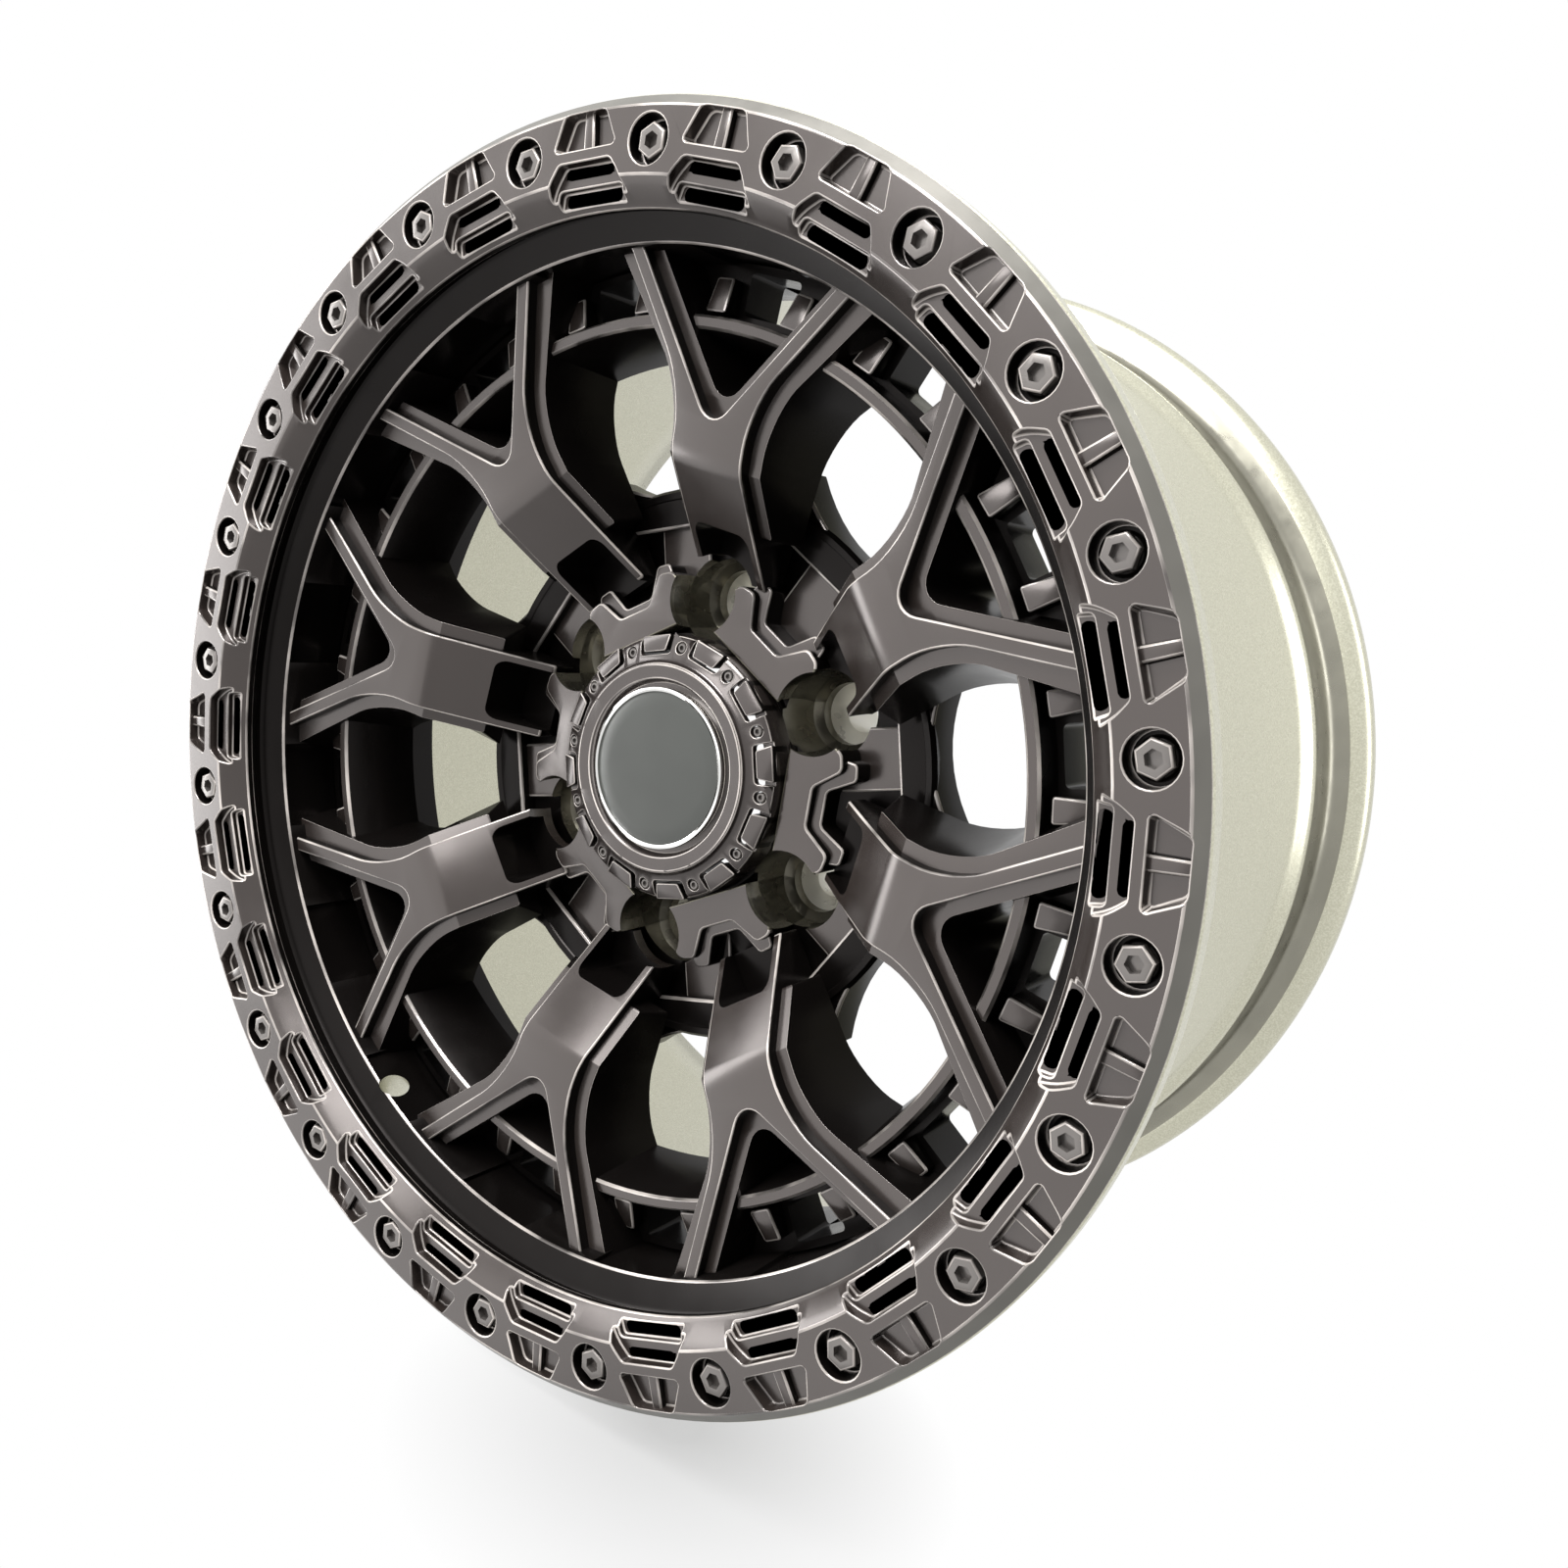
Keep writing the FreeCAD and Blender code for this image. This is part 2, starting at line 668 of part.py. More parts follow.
def make_casting():
    """The one-piece casting from its turned bodies and the cutters."""
    wide_windows = window_cutter("wide_windows", size("tier_ledge"), size("window_inner_radius"))
    wide_crotches = crotch_cutter("wide_crotches", size("tier_ledge"))
    face_windows = window_cutter("face_windows", "0", size("face_window_start"))
    face_crotches = crotch_cutter("face_crotches", "0")
    base = make_spoke_base()
    front_zone = cylinder("front_zone", inset("well_inset"), FRONT, deep("rib_floor_depth"))
    inside = cylinder("rib_inside", size("rib_inner_radius"), FRONT, BACK)
    outside = cylinder("rib_outside", size("rib_outer_radius"), FRONT, BACK)
    for index, prism in enumerate((wide_windows, wide_crotches)):
        through = boolean("Part::Common", f"inner_opening_{index}", prism, inside)
        zone = boolean("Part::Common", f"front_part_{index}", prism, front_zone)
        floor = boolean("Part::Cut", f"rib_floor_{index}", zone, outside)
        base = boolean("Part::Cut", f"base_opened_{index}", base, through)
        base = boolean("Part::Cut", f"base_floored_{index}", base, floor)
    base = boolean("Part::Cut", "base_pierced", base, make_opening_cutter())
    face = boolean("Part::Cut", "face_windowed", make_spoke_face(), face_windows)
    face = boolean("Part::Cut", "face_forked", face, face_crotches)
    joined = doc.addObject("Part::MultiFuse", "joined")
    joined.Shapes = [make_barrel(), base, face, make_hub_pads()]
    joined.Refine = True
    doc.recompute()
    casting = boolean("Part::Cut", "notched", joined, make_notch_cutter())
    casting = boolean("Part::Cut", "lugged", casting, make_lug_cutter())
    for cutter in make_back_cutters():
        casting = boolean("Part::Cut", f"cut_by_{cutter.Name}", casting, cutter)
    casting = boolean("Part::Cut", "threaded", casting, make_thread_cutter())
    casting = boolean("Part::Cut", "wheel_casting", casting, make_valve_cutter())
    return casting


def make_ring():
    """The bolted front ring with its counterbores, pockets and slot groups."""
    body = new_body("beadlock_ring")
    register = f"({inset('register_inset')} - {size('register_clearance')})"
    bevel = deep("ring_bevel_depth")
    corners = [
        (inset("ring_face_inner_inset"), FRONT),
        (inset("ring_face_outer_inset"), FRONT),
        (inset("ring_reveal"), bevel),
        (register, bevel),
        (register, deep("ring_thickness")),
        (inset("ring_inner_inset"), deep("ring_thickness")),
        (inset("ring_inner_inset"), deep("ring_edge_depth")),
        (inset("ring_slope_inset"), deep("ring_slope_depth")),
        (inset("ring_step_inset"), deep("ring_step_depth")),
    ]
    turned_ring(body, "ring", corners)
    place = inset("bolt_circle_inset")
    bore = pocket(body, "counterbore",
                  lambda sketch: circle(sketch, "0", place, size("counterbore_radius")),
                  FRONT, deep("counterbore_depth"))
    hole = pocket(body, "bolt_hole",
                  lambda sketch: circle(sketch, "0", place, size("bolt_hole_radius")),
                  FRONT, deep("ring_thickness"))
    repeat(body, "bolt_pattern", [bore, hole], size("bolt_count"))
    between = f"180 / {size('bolt_count')}"
    cutter = new_body("slot_cutter", between)
    inner = f"{inset('ring_inner_inset')} - {size('ring_thickness')}"
    block(cutter, "recess", trapezoid(size("recess_inner_half"), inner, size("recess_outer_half"),
                                      inset("recess_outer_inset")), FRONT, deep("recess_depth"))
    block(cutter, "tier", trapezoid(size("tier_half"), inner, size("tier_half"), inset("tier_inset")),
          FRONT, deep("tier_depth"))
    block(cutter, "slot", rectangle(size("slot_half"), inset("slot_inner_inset"), inset("slot_outer_inset")),
          FRONT, deep("slot_depth"))
    low_slot = rectangle(size("low_slot_half"), inset("low_slot_inner_inset"), inset("low_slot_outer_inset"))
    block(cutter, "low_slot", low_slot, FRONT, deep("low_slot_depth"))
    repeat(cutter, "slot_pattern", [], size("bolt_count"))
    pockets = new_body("pocket_cutter", between)
    outer_trapezoid = trapezoid(size("pocket_inner_half"), inset("pocket_inner_inset"),
                                size("pocket_outer_half"), inset("pocket_outer_inset"))
    block(pockets, "pocket", outer_trapezoid, FRONT, deep("pocket_depth"))
    rib = rectangle(size("pocket_rib_half"), inset("pocket_inner_inset"), inset("pocket_outer_inset"))
    pocket(pockets, "rib", rib, deep("pocket_rib_depth"), deep("pocket_depth"))
    repeat(pockets, "pocket_pattern", [], size("bolt_count"))
    slotted = boolean("Part::Cut", "ring_slotted", body, cutter)
    body.Label = "ring_turned"
    return boolean("Part::Cut", "beadlock_ring_done", slotted, pockets)


def make_ring_bolts():
    """The flange bolts of the ring, with a socket in each head."""
    body = new_body("ring_bolts")
    place = inset("bolt_circle_inset")
    seat = deep("counterbore_depth")
    flange = f"({seat} - {size('bolt_flange_height')})"
    head = f"({seat} - {size('bolt_head_height')})"
    block(body, "shank", lambda sketch: circle(sketch, "0", place, size("bolt_shank_radius")),
          flange, f"({seat} + {size('bolt_length')})")
    block(body, "flange", lambda sketch: circle(sketch, "0", place, size("bolt_flange_radius")), flange, seat)
    block(body, "hex", lambda sketch: hexagon(sketch, place, size("bolt_hex_flats")), head, flange)
    pocket(body, "socket", lambda sketch: hexagon(sketch, place, size("bolt_socket_flats")),
           head, f"({head} + {size('bolt_socket_depth')})")
    repeat(body, "ring_bolt_pattern", [], size("bolt_count"))
    return body


def make_cap():
    """The centre cap: a dished face with twelve pads, over a skirt with snap legs."""
    body = new_body("centre_cap", f"180 / {size('cap_pad_count')}")
    wall = size("cap_wall")
    corners = [
        (size("cap_crown_radius"), deep("cap_crown_depth")),
        (size("cap_shoulder_radius"), deep("cap_shoulder_depth")),
        (size("cap_radius"), deep("cap_shoulder_depth")),
        (size("cap_radius"), deep("cap_seat_depth")),
        (size("cap_skirt_radius"), deep("cap_seat_depth")),
        (size("cap_skirt_radius"), deep("cap_skirt_depth")),
        (f"{size('cap_skirt_radius')} - {wall}", deep("cap_skirt_depth")),
        (f"{size('cap_skirt_radius')} - {wall}", f"{deep('cap_floor_depth')} + {wall}"),
        ("0", f"{deep('cap_floor_depth')} + {wall}"),
        ("0", deep("cap_floor_depth")),
        (size("cap_dish_radius"), deep("cap_floor_depth")),
    ]
    turned_ring(body, "cap", corners)
    pad_front = f"({deep('cap_shoulder_depth')} - {size('cap_pad_rise')})"
    pads = block(body, "cap_pad", rectangle(size("cap_pad_half"), size("cap_pad_inner"), size("cap_pad_outer")),
                 pad_front, deep("cap_seat_depth"))
    repeat(body, "cap_pads", [pads], size("cap_pad_count"))
    return body


def make_cap_screws():
    """The small screws between the pads of the cap."""
    body = new_body("cap_screws")
    seat = deep("cap_shoulder_depth")
    block(body, "screw",
          lambda sketch: circle(sketch, "0", size("cap_screw_circle"), size("cap_screw_radius")),
          f"({seat} - {size('cap_screw_height')})", seat)
    repeat(body, "cap_screw_pattern", [], size("cap_pad_count"))
    return body


def make_bezel():
    """The bright ring round the badge."""
    body = new_body("cap_bezel")
    corners = [
        (size("bezel_inner_radius"), deep("bezel_depth")),
        (size("bezel_radius"), deep("bezel_depth")),
        (size("bezel_radius"), deep("cap_floor_depth")),
        (size("bezel_inner_radius"), deep("cap_floor_depth")),
    ]
    turned_ring(body, "bezel", corners)
    return body


def make_badge():
    """The bare disc inside the bezel."""
    body = new_body("cap_badge")
    corners = [
        ("0", deep("badge_depth")),
        (size("badge_radius"), deep("badge_depth")),
        (size("badge_radius"), deep("cap_floor_depth")),
        ("0", deep("cap_floor_depth")),
    ]
    turned_ring(body, "badge", corners)
    return body


def make_wire():
    """The flat sprung ring inside the skirt of the cap."""
    body = new_body("cap_retaining_wire")
    outer = f"({size('cap_skirt_radius')} - {size('cap_wall')})"
    inner = f"({outer} - {size('wire_width')})"
    back = f"({deep('wire_depth')} + {size('wire_width')})"
    front = deep("wire_depth")
    turned_ring(body, "wire", [(outer, front), (outer, back), (inner, back), (inner, front)])
    return body


def main():
    """Builds every piece, checks the document and writes one file per piece."""
    pieces = {
        "wheel_casting": make_casting(),
        "beadlock_ring": make_ring(),
        "ring_bolts": make_ring_bolts(),
        "centre_cap": make_cap(),
        "cap_bezel": make_bezel(),
        "cap_badge": make_badge(),
        "cap_screws": make_cap_screws(),
        "cap_retaining_wire": make_wire(),
    }
    doc.recompute()
    for item in doc.Objects:
        if {"Invalid", "Error"} & set(item.State):
            raise RuntimeError(f"{item.Label} failed: {item.State}")
    os.makedirs("parts", exist_ok=True)
    for name, piece in pieces.items():
        piece.Label = name
        shape = piece.Shape
        if shape.isNull() or not shape.isValid():
            raise RuntimeError(f"{name} has no valid shape")
        shape.exportStep(f"parts/{name}.step")
        print(name, len(shape.Solids), "solids", round(shape.Volume / 1000), "cm3")


main()
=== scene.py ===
"""Off-road alloy wheel: forked spokes, a bolted front ring, a centre cap and a bare barrel.

Sizes in the classes are millimetres. The axle runs along Y with the styled face towards -Y, and
depths are measured backwards from the front face of the ring.
"""
from __future__ import annotations

import logging
import math
from dataclasses import dataclass
from enum import IntEnum
from typing import Callable, Iterable, Sequence

import bmesh
import bpy
from mathutils import Matrix, Vector

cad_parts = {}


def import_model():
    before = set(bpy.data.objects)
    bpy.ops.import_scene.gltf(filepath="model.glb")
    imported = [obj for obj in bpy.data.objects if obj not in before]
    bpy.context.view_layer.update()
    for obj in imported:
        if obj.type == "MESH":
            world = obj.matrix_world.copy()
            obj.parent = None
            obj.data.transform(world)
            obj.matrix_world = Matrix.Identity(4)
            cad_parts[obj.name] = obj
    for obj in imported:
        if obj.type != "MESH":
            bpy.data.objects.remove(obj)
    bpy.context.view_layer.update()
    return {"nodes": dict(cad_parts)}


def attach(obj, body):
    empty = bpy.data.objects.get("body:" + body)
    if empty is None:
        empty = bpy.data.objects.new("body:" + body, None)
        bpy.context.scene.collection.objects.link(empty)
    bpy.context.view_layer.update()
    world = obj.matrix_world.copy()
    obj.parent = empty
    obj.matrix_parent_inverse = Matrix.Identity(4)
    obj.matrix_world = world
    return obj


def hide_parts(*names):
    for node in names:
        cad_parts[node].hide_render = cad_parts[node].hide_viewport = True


LOG = logging.getLogger("wheel")
MM = 0.001
FRONT = -127.3
AXLE = Vector((0.0, 1.0, 0.0))
FLAT_NORMAL = 0.5
STEEP_NORMAL = 0.3
WELD = 1e-6
ALONG_AXLE = 90.0
Pair = tuple[float, float]
Corner = tuple[float, float, float]
Colour = tuple[float, float, float]
Shape = bmesh.types.BMesh
Piece = bpy.types.Object
Material = bpy.types.Material
Socket = bpy.types.NodeSocket


class Finish(IntEnum):
    """Places of the finishes in the list of a painted piece; OWN is the ring's lip or the hub's wells. The
    second place holds a lighter black for rounded edges, a painted highlight, and the third a near-black for
    walls, recesses and hollows, a painted shade.
    """

    MAIN = 0
    # a lighter black on rounded edges: a painted highlight
    EDGE = 1
    # a near-black on walls, recesses and hollows: a painted shade
    PAINTED_SHADE = 2
    OWN = 3
    SEAT = 4


class BarrelFinish(IntEnum):
    """Places of the finishes in the barrel's list. The second place holds a near-black, a painted shade, for
    the painted front inside, and the last a lighter black, a painted highlight, for the line along the
    shelf's edge.
    """

    BARE = 0
    # the real black paint, coloured near-black as a painted shade
    PAINT = 1
    SEAT = 2
    # a lighter line along the shelf's edge: a painted highlight
    EDGE = 3


def place(across: float, deep: float, up: float) -> Vector:
    """A point from millimetres across, depth behind the front face, and height."""
    return Vector((across * MM, (FRONT + deep) * MM, up * MM))


def turn(shape: Shape, degrees: float) -> None:
    """Turns a whole shape clockwise about the axle, as seen from the front."""
    bmesh.ops.rotate(shape, verts=shape.verts[:], matrix=Matrix.Rotation(math.radians(degrees), 3, AXLE))


def shift(shape: Shape, way: Sequence[float]) -> None:
    """Moves a whole shape, in metres."""
    bmesh.ops.translate(shape, verts=shape.verts[:], vec=way)


def rod(radius: float, length: float, segments: int, lean: float) -> Shape:
    """A closed cylinder about the origin.

    Args:
        radius: radius in millimetres.
        length: length in millimetres.
        segments: facets round it.
        lean: degrees by which it is turned about X from upright.

    Returns:
        The cylinder.
    """
    shape = bmesh.new()
    bmesh.ops.create_cone(shape, cap_ends=True, segments=segments, radius1=radius * MM, radius2=radius * MM,
                          depth=length * MM)
    bmesh.ops.rotate(shape, verts=shape.verts[:], matrix=Matrix.Rotation(math.radians(lean), 3, "X"))
    return shape


def round_off(shape: Shape, geom: Sequence, reach: float, segments: int, finish: int = -1,
              affect: str = "EDGES") -> None:
    """Rounds edges or corners of a shape.

    Args:
        shape: the shape, changed in place.
        geom: the edges or vertices to round.
        reach: how far the round reaches, in millimetres.
        segments: facets in the round.
        finish: material index of the round; -1 takes the neighbours'.
        affect: EDGES or VERTICES.
    """
    bmesh.ops.bevel(shape, geom=geom, offset=reach * MM, offset_type="OFFSET", affect=affect,
                    segments=segments, profile=0.5, material=finish, clamp_overlap=True)


def new_verts(grown: Sequence) -> list[bmesh.types.BMVert]:
    """The vertices among the items that an extrusion made."""
    return [item for item in grown if isinstance(item, bmesh.types.BMVert)]


def lathe(profile: Sequence[Pair], steps: int) -> Shape:
    """Spins a closed profile about the axle.

    Args:
        profile: pairs of radius and depth.
        steps: facets in the full turn.

    Returns:
        The turned shape.
    """
    shape = bmesh.new()
    verts = [shape.verts.new(place(0.0, deep, radius)) for radius, deep in profile]
    edges = [shape.edges.new(pair) for pair in zip(verts, verts[1:] + verts[:1])]
    bmesh.ops.spin(shape, geom=verts + edges, cent=(0, 0, 0), axis=AXLE, dvec=(0, 0, 0),
                   angle=2 * math.pi, steps=steps, use_merge=True, use_duplicate=False)
    bmesh.ops.remove_doubles(shape, verts=shape.verts[:], dist=WELD)
    bmesh.ops.recalc_face_normals(shape, faces=shape.faces[:])
    return shape


def plate(corners: Sequence[Pair], rounds: Sequence[float], segments: int = 5) -> Shape:
    """A flat face across the axle with rounded corners, at depth zero.

    Args:
        corners: pairs of across and up.
        rounds: how far each corner's round reaches along its sides; 0 leaves it sharp.
        segments: facets in each round.

    Returns:
        The flat shape.
    """
    shape = bmesh.new()
    verts = [shape.verts.new(place(across, 0.0, up)) for across, up in corners]
    shape.faces.new(verts)
    for vert, reach in zip(verts, rounds):
        if reach > 0.0:
            round_off(shape, [vert], reach, segments, affect="VERTICES")
    return shape


def twin_plate(half: Sequence[Corner], segments: int = 5) -> Shape:
    """A plate that is the same on both sides.

    Args:
        half: across, up and reach of the round of each corner of the right half, going outwards.
        segments: facets in each round.

    Returns:
        The flat shape.
    """
    mirror = [(-across, up, reach) for across, up, reach in reversed(half)]
    whole = mirror[-1:] + list(half) + mirror[:-1]
    return plate([corner[:2] for corner in whole], [corner[2] for corner in whole], segments)


def raise_plate(shape: Shape, top: Callable[[float], float], bottom: float, taper: float = 0.0,
                edge: float = 0.0, segments: int = 3, soft: float = 0.0) -> None:
    """Makes a plate into a solid whose top follows the radius along the plate.

    Args:
        shape: the flat plate, changed in place.
        top: depth of the top for each height in millimetres.
        bottom: depth of the bottom.
        taper: how far the bottom spreads outwards, as a scale added to 1.
        edge: radius of the round along the top's rim; when it is set, the round takes a lighter black, a
            painted highlight, and the walls a near-black, a painted shade.
        segments: facets in that round.
        soft: reach of the round along creases of the top.
    """
    grown = bmesh.ops.extrude_face_region(shape, geom=shape.faces[:])["geom"]
    top_set = set(new_verts(grown))
    face_set = {item for item in grown if isinstance(item, bmesh.types.BMFace)}
    for vert in shape.verts:
        if vert in top_set:
            vert.co.y = (FRONT + top(vert.co.z / MM)) * MM
        else:
            vert.co.y = (FRONT + bottom) * MM
            vert.co.x *= 1.0 + taper
    bmesh.ops.recalc_face_normals(shape, faces=shape.faces[:])
    if soft > 0.0:
        creases = [item for item in shape.edges if set(item.link_faces) <= face_set]
        round_off(shape, creases, soft, 5)
    if edge > 0.0:
        shape.normal_update()
        rim = [item for item in shape.edges if len(item.link_faces) == 2
               and min(face.normal.y for face in item.link_faces) < -FLAT_NORMAL
               and max(face.normal.y for face in item.link_faces) > -STEEP_NORMAL]
        # The rounded rim takes a lighter black, a painted highlight.
        round_off(shape, rim, edge, segments, Finish.EDGE)
        shape.normal_update()
        # The walls take a near-black, a painted shade.
        paint_shade_on_walls(shape)


def paint_shade_on_walls(shape: Shape) -> None:
    """Gives the walls of a raised shape a near-black, a painted shade, by the index of that finish."""
    for face in shape.faces:
        if face.material_index == Finish.MAIN and abs(face.normal.y) < FLAT_NORMAL:
            face.material_index = Finish.PAINTED_SHADE


@dataclass(frozen=True)
class Slab:
    """A raised block that is the same on both sides, at the top of the wheel.

    Attributes:
        half: across, up and reach of the round of each corner of the right half, going outwards.
        top: depth of its top.
        bottom: depth of its bottom.
        start: height at which the top lies at that depth.
        fall: how far the top falls back for each millimetre outwards.
        taper: how far the bottom spreads outwards, as a scale added to 1.
        edge: radius of the round along the top's rim.
        edge_steps: facets in that round.
        corner_steps: facets in the corners' rounds.
    """

    half: tuple[Corner, ...]
    top: float
    bottom: float
    start: float = 0.0
    fall: float = 0.0
    taper: float = 0.0
    edge: float = 0.0
    edge_steps: int = 3
    corner_steps: int = 5

    def level(self, height: float) -> float:
        """Depth of the top at a height."""
        return self.top + (height - self.start) * self.fall

    def make(self) -> Shape:
        """Returns the block."""
        shape = twin_plate(self.half, self.corner_steps)
        raise_plate(shape, self.level, self.bottom, self.taper, self.edge, self.edge_steps)
        return shape


def split_across(shape: Shape, height: float) -> None:
    """Cuts a plate along a line at one height."""
    geom = shape.verts[:] + shape.edges[:] + shape.faces[:]
    bmesh.ops.bisect_plane(shape, geom=geom, dist=WELD / 10, plane_co=(0, 0, height * MM), plane_no=(0, 0, 1))


def pattern(part: Shape, count: int, phase: float) -> Shape:
    """Copies a shape round the axle.

    Args:
        part: the shape at the top of the wheel; it is used up.
        count: number of copies.
        phase: angle of the first copy in degrees.

    Returns:
        One shape with all the copies.
    """
    mesh = bpy.data.meshes.new("pattern")
    part.to_mesh(mesh)
    part.free()
    whole = bmesh.new()
    for index in range(count):
        before = len(whole.verts)
        whole.from_mesh(mesh)
        whole.verts.ensure_lookup_table()
        fresh = whole.verts[before:]
        angle = math.radians(phase + 360.0 * index / count)
        bmesh.ops.rotate(whole, verts=fresh, matrix=Matrix.Rotation(angle, 3, AXLE))
    bpy.data.meshes.remove(mesh)
    return whole


def merge(shapes: Iterable[Shape]) -> Shape:
    """Puts several shapes into one; the shapes are used up."""
    whole = bmesh.new()
    mesh = bpy.data.meshes.new("merge")
    for shape in shapes:
        shape.to_mesh(mesh)
        shape.free()
        whole.from_mesh(mesh)
    bpy.data.meshes.remove(mesh)
    return whole


def make_object(name: str, shape: Shape) -> Piece:
    """An object at the origin from a shape, which is used up."""
    mesh = bpy.data.meshes.new(name)
    shape.to_mesh(mesh)
    shape.free()
    piece = bpy.data.objects.new(name, mesh)
    bpy.context.scene.collection.objects.link(piece)
    return piece


def carve(piece: Piece, cutter: Shape) -> None:
    """Cuts a shape out of a piece for good.

    Args:
        piece: the object to cut.
        cutter: a closed shape, used up.
    """
    tool = make_object("cutter", cutter)
    modifier = piece.modifiers.new("carve", "BOOLEAN")
    modifier.operation = "DIFFERENCE"
    modifier.solver = "EXACT"
    modifier.object = tool
    graph = bpy.context.evaluated_depsgraph_get()
    cut = bpy.data.meshes.new_from_object(piece.evaluated_get(graph))
    piece.modifiers.remove(modifier)
    old = piece.data
    name = old.name
    piece.data = cut
    bpy.data.meshes.remove(old)
    cut.name = name
    bpy.data.objects.remove(tool)


def tidy_mesh(piece: Piece, near: float = 0.12, flat: float = 1.0) -> None:
    """Welds near vertices and joins flat neighbours, so that edges can be rounded evenly.

    Args:
        piece: the object to tidy.
        near: distance in millimetres within which vertices are welded.
        flat: angle in degrees within which faces are joined.
    """
    shape = bmesh.new()
    shape.from_mesh(piece.data)
    bmesh.ops.remove_doubles(shape, verts=shape.verts[:], dist=near * MM)
    bmesh.ops.dissolve_limit(shape, angle_limit=math.radians(flat), verts=shape.verts[:],
                             edges=shape.edges[:])
    shape.to_mesh(piece.data)
    shape.free()


def soften(piece: Piece, width: float, segments: int = 2, angle: float = 32.0) -> None:
    """Rounds the sharp edges of a piece with a live modifier, whose rounds take a lighter black as a painted
    highlight, and shades it smooth.
    """
    for face in piece.data.polygons:
        face.use_smooth = True
    bevel = piece.modifiers.new("rounded edges", "BEVEL")
    bevel.width = width * MM
    bevel.segments = segments
    bevel.limit_method = "ANGLE"
    bevel.angle_limit = math.radians(angle)
    bevel.use_clamp_overlap = False
    bevel.harden_normals = True
    bevel.miter_outer = "MITER_ARC"
    # The rounds take a lighter black: a painted highlight.
    bevel.material = Finish.EDGE


def shade_by_angle(piece: Piece, angle: float = 35.0) -> None:
    """Smooth shading that keeps edges sharper than an angle."""
    for face in piece.data.polygons:
        face.use_smooth = True
    piece.data.set_sharp_from_angle(angle=math.radians(angle))


class NodeTree:
    """A short way to write a material's nodes."""

    def __init__(self, name: str) -> None:
        """Starts a material with one principled shader."""
        self.material = bpy.data.materials.new(name)
        self.material.use_nodes = True
        self.tree = self.material.node_tree
        self.shader = self.tree.nodes["Principled BSDF"]
        self.coords = self.tree.nodes.new("ShaderNodeTexCoord").outputs["Object"]

    def set(self, **values: object) -> None:
        """Sets sockets of the shader, with _ for a space in their names."""
        for name, number in values.items():
            self.shader.inputs[name.replace("_", " ")].default_value = number

    def noise(self, scale: float, detail: float = 2.0) -> Socket:
        """A noise value on Object coordinates."""
        node = self.tree.nodes.new("ShaderNodeTexNoise")
        node.inputs["Scale"].default_value = scale
        node.inputs["Detail"].default_value = detail
        self.tree.links.new(self.coords, node.inputs["Vector"])
        return node.outputs["Fac"]

    def cells(self, scale: float) -> Socket:
        """A random colour per cell on Object coordinates."""
        node = self.tree.nodes.new("ShaderNodeTexVoronoi")
        node.inputs["Scale"].default_value = scale
        self.tree.links.new(self.coords, node.inputs["Vector"])
        return node.outputs["Color"]

    def spread(self, value: Socket, low: float, high: float, from_low: float = 0.3,
               from_high: float = 0.7) -> Socket:
        """Maps a value to a range."""
        node = self.tree.nodes.new("ShaderNodeMapRange")
        limits = {"From Min": from_low, "From Max": from_high, "To Min": low, "To Max": high}
        for socket, number in limits.items():
            node.inputs[socket].default_value = number
        self.tree.links.new(value, node.inputs["Value"])
        return node.outputs["Result"]

    def ramp(self, value: Socket, stops: Sequence[tuple[float, tuple]]) -> Socket:
        """Maps a value to a colour."""
        node = self.tree.nodes.new("ShaderNodeValToRGB")
        elements = node.color_ramp.elements
        while len(elements) < len(stops):
            elements.new(0.5)
        for element, (position, colour) in zip(elements, stops):
            element.position = position
            element.color = (*colour, 1.0)
        self.tree.links.new(value, node.inputs["Fac"])
        return node.outputs["Color"]

    def feed(self, value: Socket, socket: str) -> None:
        """Links a value to a socket of the shader."""
        self.tree.links.new(value, self.shader.inputs[socket])

    def bump(self, value: Socket, depth: float, strength: float = 0.3) -> None:
        """Adds a bump of a depth in millimetres."""
        node = self.tree.nodes.new("ShaderNodeBump")
        node.inputs["Strength"].default_value = strength
        node.inputs["Distance"].default_value = depth * MM
        self.tree.links.new(value, node.inputs["Height"])
        self.tree.links.new(node.outputs["Normal"], self.shader.inputs["Normal"])


@dataclass(frozen=True)
class SatinPaint:
    """Warm black powder coat with a soft sheen."""

    name: str = "satin_black"
    shade: Colour = (0.0165, 0.0128, 0.0112)
    roughness: Pair = (0.2, 0.27)
    gloss: float = 0.62
    tint: tuple[float, float, float, float] = (1.0, 0.92, 0.89, 1.0)
    sway: Pair = (1.0, 1.25)
    patches: float = 9.0
    sheen_patches: float = 60.0
    grain: float = 900.0

    def make(self) -> Material:
        """Returns the material."""
        nodes = NodeTree(self.name)
        nodes.set(Metallic=0.0, IOR=1.6, Specular_IOR_Level=self.gloss, Specular_Tint=self.tint)
        cloud = nodes.noise(self.patches, 3.0)
        dark, light = (tuple(channel * factor for channel in self.shade) for factor in self.sway)
        nodes.feed(nodes.ramp(cloud, [(0.36, dark), (0.64, light)]), "Base Color")
        nodes.feed(nodes.spread(nodes.noise(self.sheen_patches), *self.roughness), "Roughness")
        nodes.bump(nodes.noise(self.grain, 1.0), 0.05, 0.12)
        return nodes.material


